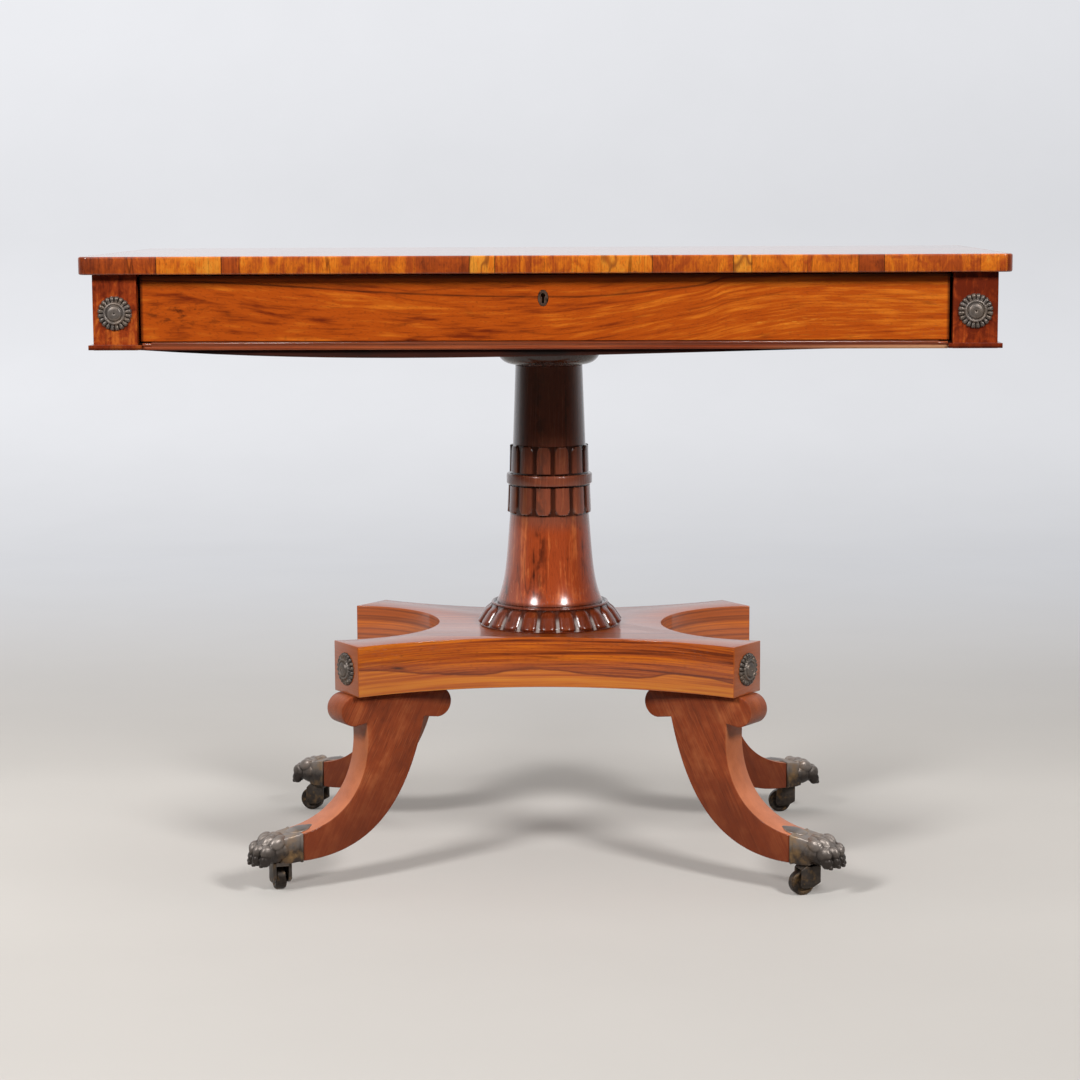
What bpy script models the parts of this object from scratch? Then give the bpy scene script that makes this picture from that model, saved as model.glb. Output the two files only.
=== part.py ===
"""Rosewood pedestal table with one frieze drawer, on four sabre legs with paw caps and casters.

Metres, +Z up. The origin is on the floor under the middle of the top, +X is to the right and -Y is
the drawer side.
"""

import math

import bmesh
import bpy
from mathutils import Matrix, Vector

# Fits: a glue line between fixed pieces, pieces that slide or turn on each other, the play round the
# drawer, and the play beside the caster wheels and over the forks
GLUE_GAP = 0.0003
SLIDING_GAP = 0.0003
RUNNING_GAP = 0.0015
CASTER_PLAY = 0.0005

# Top
TOP_WIDTH = 1.0352
TOP_DEPTH = 0.4704
TOP_THICKNESS = 0.0200
TOP_CORNER_RADIUS = 0.0120
END_OVERHANG = 0.0148
FRONT_OVERHANG = 0.0115
BANDING_THICKNESS = 0.0025

# Frieze frame
FRIEZE_HEIGHT = 0.0840
POST_WIDTH = 0.0495
PLINTH_HEIGHT = 0.0055
PLINTH_PROJECTION = 0.0050
PLINTH_REVEAL = 0.0005
PLINTH_SET_IN = 0.0025
RAIL_RECESS = 0.0065
RAIL_THICKNESS = 0.0200
RAIL_TENON_LENGTH = 0.0180
RAIL_TENON_THICKNESS = 0.0070
RAIL_TENON_SHOULDER = 0.0140
MOULDING_HEIGHT = 0.0080
MOULDING_PROJECTION = 0.0045
# Where the front rail's lower edge stops sagging, along X, and where it is pulled to, along X and down
FRONT_RAIL_SAG_END = 0.3300
FRONT_RAIL_SAG_PULLS = ((-0.2200, 0.0155), (-0.0500, 0.0095))
RUNNER_WIDTH = 0.0480
GUIDE_HEIGHT = 0.0460
BEARER_WIDTH = 0.2000
BEARER_THICKNESS = 0.0150

# Drawer and lock
DRAWER_SIDE_GAP = 0.0030
DRAWER_BACK_ROOM = 0.0228
DRAWER_FRONT_THICKNESS = 0.0200
DRAWER_SIDE_THICKNESS = 0.0100
DRAWER_SIDE_DROP = 0.0102
DRAWER_BACK_THICKNESS = 0.0100
DRAWER_BOTTOM_THICKNESS = 0.0060
DRAWER_BOTTOM_RAISE = 0.0040
DRAWER_GROOVE_DEPTH = 0.0050
DRAWER_LAP = 0.0120
KEYHOLE_DROP = 0.0243
KEYHOLE_RADIUS = 0.0026
KEYHOLE_SLOT_WIDTH = 0.0024
KEYHOLE_SLOT_LENGTH = 0.0062
ESCUTCHEON_WIDTH = 0.0112
ESCUTCHEON_HEIGHT = 0.0180
ESCUTCHEON_THICKNESS = 0.0016
ESCUTCHEON_PROUD = 0.0003
LOCK_WIDTH = 0.0600
LOCK_HEIGHT = 0.0420
LOCK_THICKNESS = 0.0110
BOLT_WIDTH = 0.0160
BOLT_THICKNESS = 0.0050
BOLT_LENGTH = 0.0180
BOLT_THROW = 0.0080

# Column
COLUMN_TENON_RADIUS = 0.0200
WEDGE_HEAD = 0.0060
WEDGE_POINT = 0.0030
WEDGE_LENGTH = 0.0160
WEDGE_INSET = 0.0012
CAP_HEIGHT = 0.0235
CAP_RIM = 0.0065
CAP_RADIUS = 0.0615
CAP_NECK_RADIUS = 0.0420
SHAFT_HEIGHT = 0.0954
SHAFT_HEAD_RADIUS = 0.0402
SHAFT_FOOT_RADIUS = 0.0437
UPPER_BAND_HEIGHT = 0.0325
UPPER_BAND_RADIUS = 0.0478
COLLAR_GROOVE_HEIGHT = 0.0019
COLLAR_GROOVE_RADIUS = 0.0455
COLLAR_RING_HEIGHT = 0.0128
COLLAR_RING_RADIUS = 0.0515
LOWER_BAND_HEIGHT = 0.0330
LOWER_BAND_RADIUS = 0.0507
COLLAR_CHAMFER = 0.0010
COLLAR_TAPER = 0.0014
LOBE_DEPTH = 0.0028
COLLAR_LOBES = 13
TRUMPET_HEIGHT = 0.1075
TRUMPET_NECK_RADIUS = 0.0474
TRUMPET_FOOT_RADIUS = 0.0640
TRUMPET_SPREAD = 0.35  # the part of the flare that is straight, the rest is cubic
BASE_RING_HEIGHT = 0.0275
BASE_RING_RADIUS = 0.0874
BASE_RING_TOP_RADIUS = 0.0690
BASE_RING_RIM = 0.0066
BASE_RING_SWELL = 0.3
BEAD_HEIGHT = 0.0015
BASE_LOBE_DEPTH = 0.0038
BASE_LOBES = 22

# Platform
PLATFORM_THICKNESS = 0.0592
ARM_ANGLE = math.radians(56.5)
ARM_REACH = 0.2785
ARM_WIDTH = 0.0590
SIDE_WAIST = 0.1346
FRONT_WAIST = 0.1096

# Legs, up from the floor, and inwards or outwards from the end of the platform's arm
LEG_HEIGHT = 0.2220
LEG_THICKNESS = 0.0380
LEG_BAR_HEIGHT = 0.0355
LEG_BAR_INWARDS = 0.1290
LEG_BAR_OUTWARDS = 0.0160
LEG_NECK_INWARDS = 0.0925
LEG_NECK_SETBACK = 0.0165
LEG_NECK_RISE = 0.0025
LEG_END_OUTWARDS = 0.0680
LEG_END_TOP = 0.0690
LEG_END_BOTTOM = 0.0368
# Where the two sabre curves are pulled to, as parts of their reach outwards and their drop
LEG_OUTER_PULLS = ((-0.083, 0.47), (0.20, 0.91))
LEG_INNER_PULLS = ((0.124, 0.546), (0.363, 1.008))
LEG_TENON_WIDTH = 0.0700
LEG_TENON_THICKNESS = 0.0140
LEG_TENON_HEIGHT = 0.0350
LEG_TONGUE_LENGTH = 0.0100
LEG_TONGUE_SHOULDER = 0.0060

# Paw caps
PAW_LENGTH = 0.0600
PAW_TOP = 0.0717
PAW_WIDTH = 0.0440
PAW_CUFF_LENGTH = 0.0160
PAW_CUFF_LIP = 0.0012
PAW_CUFF_FALL = 0.0048
TOE_COUNT = 4
TOE_PITCH = 0.0108
TOE_WIDTH = 0.0134
TOE_LENGTH = 0.0300
TOE_HEIGHT = 0.0270
TOE_SETBACK = 0.0040

# Casters
CASTER_SETOUT = 0.0195
CASTER_TRAIL = 0.0130
WHEEL_RADIUS = 0.0143
WHEEL_WIDTH = 0.0130
WHEEL_EDGE = 0.0020
WHEEL_HEADROOM = 0.0020
AXLE_RADIUS = 0.0020
CHEEK_THICKNESS = 0.0040
CHEEK_BACK = 0.0065
CHEEK_NOSE = 0.0052
CROWN_THICKNESS = 0.0042
CROWN_FRONT = 0.0170
SPINDLE_RADIUS = 0.0040
SPINDLE_LENGTH = 0.0090
CASTER_TURN = {"front_left": 110, "front_right": 200, "rear_left": 162, "rear_right": 180}

# Rosettes
ROSETTE_RADIUS = 0.0193
ROSETTE_THICKNESS = 0.0062
# How far the rosettes of the posts sit below the middle of the post's face
ROSETTE_DROP = 0.0037
# The face from its middle to its rim, as parts of the radius and the thickness
ROSETTE_FACE = ((0, 1), (0.25, 0.75), (0.38, 0.45), (0.62, 0.70), (1, 0.25))

# Facets
SMOOTH_ANGLE = math.radians(35)
MERGE_DISTANCE = 1e-5
TURNED_STEPS = 3 * COLLAR_LOBES
RING_STEPS = 3 * BASE_LOBES
SMALL_STEPS = 12
WHEEL_STEPS = 20
ROSETTE_STEPS = 18
BALL_STEPS = 10
OVAL_STEPS = 20
RING_ROWS = 4
ARC_STEPS = 6
CURVE_STEPS = 9
WAIST_STEPS = 16

# Levels, from the floor up
CROWN_BOTTOM = 2 * WHEEL_RADIUS + WHEEL_HEADROOM
CROWN_TOP = CROWN_BOTTOM + CROWN_THICKNESS
PAW_BOTTOM = CROWN_TOP + CASTER_PLAY
PLATFORM_BOTTOM = LEG_HEIGHT + GLUE_GAP
PLATFORM_TOP = PLATFORM_BOTTOM + PLATFORM_THICKNESS
RING_BOTTOM = PLATFORM_TOP + GLUE_GAP
RING_TOP = RING_BOTTOM + BASE_RING_HEIGHT
TRUMPET_BOTTOM = RING_TOP + GLUE_GAP
LOWER_BAND_BOTTOM = TRUMPET_BOTTOM + TRUMPET_HEIGHT
LOWER_BAND_TOP = LOWER_BAND_BOTTOM + LOWER_BAND_HEIGHT
COLLAR_RING_BOTTOM = LOWER_BAND_TOP + COLLAR_GROOVE_HEIGHT
COLLAR_RING_TOP = COLLAR_RING_BOTTOM + COLLAR_RING_HEIGHT
UPPER_BAND_BOTTOM = COLLAR_RING_TOP + COLLAR_GROOVE_HEIGHT
UPPER_BAND_TOP = UPPER_BAND_BOTTOM + UPPER_BAND_HEIGHT
SHAFT_TOP = UPPER_BAND_TOP + SHAFT_HEIGHT
CAP_BOTTOM = SHAFT_TOP + GLUE_GAP
CAP_TOP = CAP_BOTTOM + CAP_HEIGHT
BEARER_BOTTOM = CAP_TOP + GLUE_GAP
DRAWER_FLOOR = BEARER_BOTTOM + BEARER_THICKNESS
FRAME_BOTTOM = DRAWER_FLOOR - MOULDING_HEIGHT
FRAME_TOP = FRAME_BOTTOM + FRIEZE_HEIGHT
TOP_BOTTOM = FRAME_TOP + GLUE_GAP
TABLE_HEIGHT = TOP_BOTTOM + TOP_THICKNESS

# Plan of the frieze, as half widths (X) and half depths (Y) from the middle
FRAME_X = TOP_WIDTH / 2 - END_OVERHANG
FRAME_Y = TOP_DEPTH / 2 - FRONT_OVERHANG
POST_INNER_X = FRAME_X - POST_WIDTH
POST_INNER_Y = FRAME_Y - POST_WIDTH
RAIL_FACE_X = FRAME_X - RAIL_RECESS
RAIL_FACE_Y = FRAME_Y - RAIL_RECESS
RAIL_BACK_X = RAIL_FACE_X - RAIL_THICKNESS
RAIL_BACK_Y = RAIL_FACE_Y - RAIL_THICKNESS
END_TENON_X = RAIL_FACE_X - RAIL_THICKNESS / 2
REAR_TENON_Y = RAIL_FACE_Y - RAIL_THICKNESS / 2
DRAWER_X = POST_INNER_X - DRAWER_SIDE_GAP
DRAWER_FACE_Y = -RAIL_FACE_Y
DRAWER_FRONT_BOTTOM = DRAWER_FLOOR + RUNNING_GAP
DRAWER_FRONT_TOP = FRAME_TOP - RUNNING_GAP
DRAWER_FRONT_BACK_Y = DRAWER_FACE_Y + DRAWER_FRONT_THICKNESS
DRAWER_BACK_Y = RAIL_BACK_Y - DRAWER_BACK_ROOM
KEYHOLE_Z = FRAME_TOP - KEYHOLE_DROP
LOCK_BACK_Y = DRAWER_FRONT_BACK_Y
LOCK_FACE_Y = LOCK_BACK_Y - LOCK_THICKNESS
BOLT_Y = (LOCK_BACK_Y + LOCK_FACE_Y) / 2

# Legs and casters, outwards from the column's axis
LEG_BAR_INNER = ARM_REACH - LEG_BAR_INWARDS
LEG_BAR_OUTER = ARM_REACH + LEG_BAR_OUTWARDS
LEG_NECK_INNER = ARM_REACH - LEG_NECK_INWARDS
LEG_NECK_OUTER = ARM_REACH - LEG_NECK_SETBACK
LEG_END = ARM_REACH + LEG_END_OUTWARDS
CASTER_REACH = LEG_END + CASTER_SETOUT

# The four corners, as signs of X and Y
CORNERS = {
    "front_left": (-1, -1),
    "front_right": (1, -1),
    "rear_left": (-1, 1),
    "rear_right": (1, 1),
}
BEYOND = 0.01  # how far a cutter runs past what it cuts


def clear_scene():
    for obj in list(bpy.data.objects):
        bpy.data.objects.remove(obj, do_unlink=True)


def new_collection(name):
    made = bpy.data.collections.new(name)
    bpy.context.scene.collection.children.link(made)
    return made


def new_material(name, colour, roughness, metallic=0.0):
    made = bpy.data.materials.new(name)
    made.use_nodes = True
    shader = made.node_tree.nodes["Principled BSDF"]
    shader.inputs["Base Color"].default_value = (*colour, 1.0)
    shader.inputs["Roughness"].default_value = roughness
    shader.inputs["Metallic"].default_value = metallic
    return made


clear_scene()
TABLE = new_collection("pedestal_table")
CUTTERS = new_collection("pedestal_table_cutters")
ROSEWOOD_VENEER = new_material("rosewood_veneer", (0.28, 0.075, 0.022), 0.25)
ROSEWOOD_BANDING = new_material("rosewood_banding", (0.25, 0.08, 0.03), 0.25)
ROSEWOOD_SOLID = new_material("rosewood_solid", (0.22, 0.045, 0.018), 0.25)
DRAWER_WOOD = new_material("mahogany_lining", (0.30, 0.14, 0.06), 0.55)
CARCASE_WOOD = new_material("pine_carcase", (0.42, 0.26, 0.13), 0.7)
PAW_BRASS = new_material("patinated_brass", (0.12, 0.09, 0.06), 0.4, 1.0)
LOCK_BRASS = new_material("lock_brass", (0.45, 0.32, 0.14), 0.4, 1.0)
IRON = new_material("bolt_iron", (0.20, 0.19, 0.18), 0.5, 1.0)


def add_empty(name, location=(0, 0, 0), turn=0.0):
    """A handle for a group of pieces, on the axis that the group moves about."""
    empty = bpy.data.objects.new(name, None)
    empty.location = location
    empty.rotation_euler.z = turn
    TABLE.objects.link(empty)
    return empty


def add_piece(name, mesh, finish, parent=None):
    """A finished piece of the table."""
    obj = bpy.data.objects.new(name, mesh)
    TABLE.objects.link(obj)
    if not mesh.materials:
        mesh.materials.append(finish)
    obj.parent = parent
    return obj


def add_helper(name, mesh):
    """A cutter, or a shape that is joined to a piece."""
    obj = bpy.data.objects.new(name, mesh)
    CUTTERS.objects.link(obj)
    obj.hide_render = True
    obj.display_type = "WIRE"
    return obj


def evaluated_mesh(obj):
    bpy.context.view_layer.update()
    graph = bpy.context.evaluated_depsgraph_get()
    return bpy.data.meshes.new_from_object(obj.evaluated_get(graph))


def welded(mesh):
    shape = bmesh.new()
    shape.from_mesh(mesh)
    bmesh.ops.remove_doubles(shape, verts=shape.verts, dist=MERGE_DISTANCE)
    bmesh.ops.recalc_face_normals(shape, faces=shape.faces)
    shape.to_mesh(mesh)
    shape.free()
    return mesh


def baked(helper):
    """The helper's shape with its modifiers applied, as a mesh that several pieces can share."""
    mesh = evaluated_mesh(helper)
    mesh.transform(helper.matrix_world)
    bpy.data.objects.remove(helper)
    return mesh


def smoothed(mesh):
    mesh.shade_smooth()
    mesh.set_sharp_from_angle(angle=SMOOTH_ANGLE)
    return mesh


def box_mesh(name, size):
    shape = bmesh.new()
    bmesh.ops.create_cube(shape, size=1.0)
    bmesh.ops.scale(shape, vec=size, verts=shape.verts)
    mesh = bpy.data.meshes.new(name)
    shape.to_mesh(mesh)
    shape.free()
    return mesh


def add_box(name, low, high, finish, parent=None):
    """A board between two corners."""
    low, high = Vector(low), Vector(high)
    obj = add_piece(name, box_mesh(name, high - low), finish, parent)
    obj.location = (low + high) / 2
    return obj


def box_helper(name, low, high):
    low, high = Vector(low), Vector(high)
    obj = add_helper(name, box_mesh(name, high - low))
    obj.location = (low + high) / 2
    return obj


def ball_helper(name, centre, size):
    shape = bmesh.new()
    bmesh.ops.create_uvsphere(shape, u_segments=BALL_STEPS, v_segments=BALL_STEPS // 2 + 1, radius=1)
    bmesh.ops.scale(shape, vec=Vector(size) / 2, verts=shape.verts)
    mesh = bpy.data.meshes.new(name)
    shape.to_mesh(mesh)
    shape.free()
    obj = add_helper(name, mesh)
    obj.location = centre
    return obj


def outline_mesh(name, points, thickness):
    """A flat outline in the XY plane, thickened evenly to both sides of it."""
    curve = bpy.data.curves.new(name, "CURVE")
    curve.dimensions = "2D"
    curve.fill_mode = "BOTH"
    curve.extrude = thickness / 2
    spline = curve.splines.new("POLY")
    spline.points.add(len(points) - 1)
    for corner, (x, y) in zip(spline.points, points):
        corner.co = (x, y, 0, 1)
    spline.use_cyclic_u = True
    return welded(baked(add_helper(name, curve)))


def standing(mesh):
    """The outline's Y turned up to Z, with its thickness along Y."""
    mesh.transform(Matrix.Rotation(math.radians(90), 4, "X"))
    return mesh


def turned_mesh(name, profile, steps, ring=False):
    """Points of (radius, height), read down the outer side, turned about Z. A ring's profile closes."""
    mesh = bpy.data.meshes.new(name)
    last = len(profile) - 1
    edges = [(i, i + 1) for i in range(last)]
    if ring:
        edges.append((last, 0))
    mesh.from_pydata([(radius, 0, height) for radius, height in profile], edges, [])
    helper = add_helper(name, mesh)
    screw = helper.modifiers.new("turn", "SCREW")
    screw.steps = steps
    screw.render_steps = steps
    screw.use_merge_vertices = True
    screw.merge_threshold = MERGE_DISTANCE
    return smoothed(welded(baked(helper)))


def rod_helper(name, radius, bottom, top, steps=SMALL_STEPS):
    profile = [(0, top), (radius, top), (radius, bottom), (0, bottom)]
    return add_helper(name, turned_mesh(name, profile, steps))


def cut(obj, cutter):
    step = obj.modifiers.new("cut " + cutter.name, "BOOLEAN")
    step.operation = "DIFFERENCE"
    step.object = cutter
    return obj


def join(obj, addition):
    step = obj.modifiers.new("join " + addition.name, "BOOLEAN")
    step.operation = "UNION"
    step.object = addition
    return obj


def arc(centre, radius, start, end, steps=ARC_STEPS):
    """Points on a circle from one angle to another, in degrees."""
    angles = [math.radians(start + (end - start) * i / steps) for i in range(steps + 1)]
    return [(centre[0] + radius * math.cos(a), centre[1] + radius * math.sin(a)) for a in angles]


def bezier(first, pull, push, last, steps=CURVE_STEPS):
    points = []
    for i in range(steps + 1):
        t = i / steps
        weights = ((1 - t) ** 3, 3 * t * (1 - t) ** 2, 3 * t * t * (1 - t), t**3)
        points.append(
            tuple(sum(w * p[k] for w, p in zip(weights, (first, pull, push, last))) for k in (0, 1))
        )
    return points


def hollow(start, waist, end, steps=WAIST_STEPS):
    """The points between start and end on the circle through start, waist and end."""
    start, waist, end = Vector(start), Vector(waist), Vector(end)
    middle = (start + end) / 2
    sag = (waist - middle).length
    half = (end - start).length / 2
    radius = (half * half + sag * sag) / (2 * sag)
    centre = waist + (middle - waist).normalized() * radius
    first = start - centre
    sweep = first.angle_signed(end - centre)
    turns = [sweep * i / steps for i in range(1, steps)]
    return [tuple(centre + Matrix.Rotation(-turn, 2) @ first) for turn in turns]


def rounded_rectangle(width, depth, radius):
    x, y = width / 2 - radius, depth / 2 - radius
    return (
        arc((x, y), radius, 0, 90)
        + arc((-x, y), radius, 90, 180)
        + arc((-x, -y), radius, 180, 270)
        + arc((x, -y), radius, 270, 360)
    )


def ellipse(width, height, steps=OVAL_STEPS):
    angles = [math.tau * i / steps for i in range(steps)]
    return [(width / 2 * math.cos(a), height / 2 * math.sin(a)) for a in angles]


def lobed(mesh, count, depth, bottom, top, inside):
    """Sinks a groove between each two of count lobes, on the outer face between two levels."""
    for corner in mesh.vertices:
        radius = math.hypot(corner.co.x, corner.co.y)
        if bottom <= corner.co.z <= top and radius > inside:
            phase = (math.atan2(corner.co.y, corner.co.x) / math.tau * count) % 1
            sunk = radius - depth * (1 - math.sin(math.pi * phase))
            corner.co.x *= sunk / radius
            corner.co.y *= sunk / radius
    return mesh


def leg_direction(corner):
    x, y = CORNERS[corner]
    return Vector((x * math.sin(ARM_ANGLE), y * math.cos(ARM_ANGLE)))


def leg_turn(corner):
    direction = leg_direction(corner)
    return math.atan2(direction.y, direction.x)


def build_top():
    """The board of the top, with a slot over the lock's bolt, and the veneer banding round its edge."""
    inner_width = TOP_WIDTH - 2 * BANDING_THICKNESS
    inner_depth = TOP_DEPTH - 2 * BANDING_THICKNESS
    inner_radius = TOP_CORNER_RADIUS - BANDING_THICKNESS
    middle = TOP_BOTTOM + TOP_THICKNESS / 2
    board = rounded_rectangle(inner_width - 2 * GLUE_GAP, inner_depth - 2 * GLUE_GAP, inner_radius)
    panel = add_piece("top_panel", outline_mesh("top_panel", board, TOP_THICKNESS), ROSEWOOD_VENEER)
    panel.location.z = middle
    slot_x = BOLT_WIDTH / 2 + RUNNING_GAP
    slot_y = BOLT_THICKNESS / 2 + RUNNING_GAP
    slot = box_helper(
        "bolt_slot",
        (-slot_x, BOLT_Y - slot_y, TOP_BOTTOM - BEYOND),
        (slot_x, BOLT_Y + slot_y, DRAWER_FRONT_TOP + BOLT_THROW + RUNNING_GAP),
    )
    cut(panel, slot)
    edge = rounded_rectangle(TOP_WIDTH, TOP_DEPTH, TOP_CORNER_RADIUS)
    banding_mesh = outline_mesh("top_edge_banding", edge, TOP_THICKNESS)
    banding = add_piece("top_edge_banding", banding_mesh, ROSEWOOD_BANDING)
    banding.location.z = middle
    window = rounded_rectangle(inner_width, inner_depth, inner_radius)
    opening = add_helper("banding_window", outline_mesh("banding_window", window, TOP_THICKNESS + BEYOND))
    opening.location.z = middle
    cut(banding, opening)


def plinth_outline(x_side, y_side):
    """The plinth stands out all round the post, but stops in front of the rails' faces."""
    out = PLINTH_PROJECTION
    along = POST_WIDTH + out
    sunk = RAIL_RECESS - GLUE_GAP
    core = POST_WIDTH - PLINTH_SET_IN
    steps = [
        (-out, -out),
        (along, -out),
        (along, sunk),
        (core, sunk),
        (core, core),
        (sunk, core),
        (sunk, along),
        (-out, along),
    ]
    return [(x_side * (FRAME_X - u), y_side * (FRAME_Y - v)) for u, v in steps]


def rail_tenon(name, low, high, play=0.0):
    """A tenon, or its mortise with some play, between two corners given in any order."""
    lows = [min(a, b) - play for a, b in zip(low, high)]
    highs = [max(a, b) + play for a, b in zip(low, high)]
    return box_helper(name, lows, highs)


def end_rail_tenon(name, x_side, y_side, play=0.0):
    half = RAIL_TENON_THICKNESS / 2
    foot, tip = y_side * (POST_INNER_Y - BEYOND), y_side * (POST_INNER_Y + RAIL_TENON_LENGTH)
    return rail_tenon(
        name,
        (x_side * (END_TENON_X - half), foot, FRAME_BOTTOM + RAIL_TENON_SHOULDER),
        (x_side * (END_TENON_X + half), tip, FRAME_TOP - RAIL_TENON_SHOULDER),
        play,
    )


def rear_rail_tenon(name, x_side, play=0.0):
    half = RAIL_TENON_THICKNESS / 2
    foot, tip = x_side * (POST_INNER_X - BEYOND), x_side * (POST_INNER_X + RAIL_TENON_LENGTH)
    return rail_tenon(
        name,
        (foot, REAR_TENON_Y - half, FRAME_BOTTOM + RAIL_TENON_SHOULDER),
        (tip, REAR_TENON_Y + half, FRAME_TOP - RAIL_TENON_SHOULDER),
        play,
    )


def build_posts():
    for corner, (x_side, y_side) in CORNERS.items():
        name = "corner_post_" + corner
        xs = sorted((x_side * POST_INNER_X, x_side * FRAME_X))
        ys = sorted((y_side * POST_INNER_Y, y_side * FRAME_Y))
        post = add_box(name, (xs[0], ys[0], FRAME_BOTTOM), (xs[1], ys[1], FRAME_TOP), ROSEWOOD_VENEER)
        outline = plinth_outline(x_side, y_side)
        plinth = add_helper("plinth_" + corner, outline_mesh("plinth_" + corner, outline, PLINTH_HEIGHT))
        plinth.location.z = FRAME_BOTTOM + PLINTH_REVEAL + PLINTH_HEIGHT / 2
        join(post, plinth)
        cut(post, end_rail_tenon("end_mortise_" + corner, x_side, y_side, GLUE_GAP))
        if y_side > 0:
            cut(post, rear_rail_tenon("rear_mortise_" + corner, x_side, GLUE_GAP))


def build_rails():
    end_length = POST_INNER_Y - GLUE_GAP
    for side, x_side in (("left", -1), ("right", 1)):
        xs = sorted((x_side * RAIL_BACK_X, x_side * RAIL_FACE_X))
        low = (xs[0], -end_length, FRAME_BOTTOM)
        high = (xs[1], end_length, FRAME_TOP)
        rail = add_box("end_rail_" + side, low, high, ROSEWOOD_VENEER)
        for end, y_side in (("front", -1), ("rear", 1)):
            join(rail, end_rail_tenon(f"tenon_{end}_{side}", x_side, y_side))
    rear_length = POST_INNER_X - GLUE_GAP
    low = (-rear_length, RAIL_BACK_Y, FRAME_BOTTOM)
    high = (rear_length, RAIL_FACE_Y, FRAME_TOP)
    rear = add_box("rear_rail", low, high, ROSEWOOD_VENEER)
    for side, x_side in (("left", -1), ("right", 1)):
        join(rear, rear_rail_tenon("rear_tenon_" + side, x_side))
    build_front_rail(rear_length)


def build_front_rail(half_length):
    """The low rail under the drawer, whose lower edge sags left of the middle."""
    upper = [(half_length, DRAWER_FLOOR), (-half_length, DRAWER_FLOOR)]
    pulls = [(x, FRAME_BOTTOM - drop) for x, drop in FRONT_RAIL_SAG_PULLS]
    sag = bezier((-half_length, FRAME_BOTTOM), *pulls, (FRONT_RAIL_SAG_END, FRAME_BOTTOM), WAIST_STEPS)
    depth = POST_WIDTH - RAIL_RECESS
    mesh = standing(outline_mesh("front_rail", upper + sag + [(half_length, FRAME_BOTTOM)], depth))
    rail = add_piece("front_rail", mesh, ROSEWOOD_SOLID)
    rail.location.y = -(RAIL_FACE_Y + POST_INNER_Y) / 2


def moulding_outline():
    """Section of the strip along the foot of the frieze: a band with a hollow up to a narrow top bead."""
    out, height = MOULDING_PROJECTION, MOULDING_HEIGHT
    bead = out / 2
    cove = arc((out, height / 2 + bead), bead, 270, 180)
    return [(0, 0), (out, 0)] + cove + [(bead, height), (0, height)]


def build_mouldings():
    inset = PLINTH_PROJECTION + GLUE_GAP
    across = 2 * (POST_INNER_X - inset)
    along = 2 * (POST_INNER_Y - inset)
    runs = (
        ("front_moulding", -90, RAIL_FACE_Y, across),
        ("rear_moulding", 90, RAIL_FACE_Y, across),
        ("left_moulding", 180, RAIL_FACE_X, along),
        ("right_moulding", 0, RAIL_FACE_X, along),
    )
    for name, turn, face, length in runs:
        mesh = standing(outline_mesh(name, moulding_outline(), length))
        strip = add_piece(name, mesh, ROSEWOOD_SOLID)
        turn = math.radians(turn)
        strip.rotation_euler.z = turn
        away = face + GLUE_GAP
        strip.location = (away * math.cos(turn), away * math.sin(turn), FRAME_BOTTOM)


def build_supports():
    """The drawer's two L-shaped runners, and the cross bearer that the column is tenoned into."""
    outer = RAIL_BACK_X - GLUE_GAP
    inner = outer - RUNNER_WIDTH
    guide = POST_INNER_X
    length = 2 * (POST_INNER_Y - GLUE_GAP)
    for side, x_side in (("left", -1), ("right", 1)):
        section = [
            (outer, FRAME_BOTTOM),
            (outer, FRAME_BOTTOM + GUIDE_HEIGHT),
            (guide, FRAME_BOTTOM + GUIDE_HEIGHT),
            (guide, DRAWER_FLOOR),
            (inner, DRAWER_FLOOR),
            (inner, FRAME_BOTTOM),
        ]
        outline = [(x_side * x, z) for x, z in section]
        name = "drawer_runner_" + side
        add_piece(name, standing(outline_mesh(name, outline, length)), CARCASE_WOOD)
    low = (-BEARER_WIDTH / 2, -POST_INNER_Y + GLUE_GAP, BEARER_BOTTOM)
    high = (BEARER_WIDTH / 2, RAIL_BACK_Y - GLUE_GAP, DRAWER_FLOOR)
    bearer = add_box("column_bearer", low, high, CARCASE_WOOD)
    cut(bearer, column_bore("bearer_bore", low[2], high[2]))


def keyhole_outline():
    half = KEYHOLE_SLOT_WIDTH / 2
    dip = math.degrees(math.asin(half / KEYHOLE_RADIUS))
    bow = arc((0, 0), KEYHOLE_RADIUS, -90 + dip, 270 - dip, 2 * ARC_STEPS)
    foot = -KEYHOLE_RADIUS - KEYHOLE_SLOT_LENGTH
    return bow + [(-half, foot), (half, foot)]


def keyhole_helper(name, front, back):
    """A keyhole shaped cutter through the drawer front, between two depths."""
    helper = add_helper(name, standing(outline_mesh(name, keyhole_outline(), back - front)))
    helper.location = (0, (front + back) / 2, KEYHOLE_Z)
    return helper


def escutcheon_mesh(name, play, front, back):
    outline = ellipse(ESCUTCHEON_WIDTH + 2 * play, ESCUTCHEON_HEIGHT + 2 * play)
    mesh = standing(outline_mesh(name, outline, back - front))
    mesh.transform(Matrix.Translation((0, (front + back) / 2, KEYHOLE_Z - KEYHOLE_SLOT_LENGTH / 2)))
    return mesh


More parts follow.
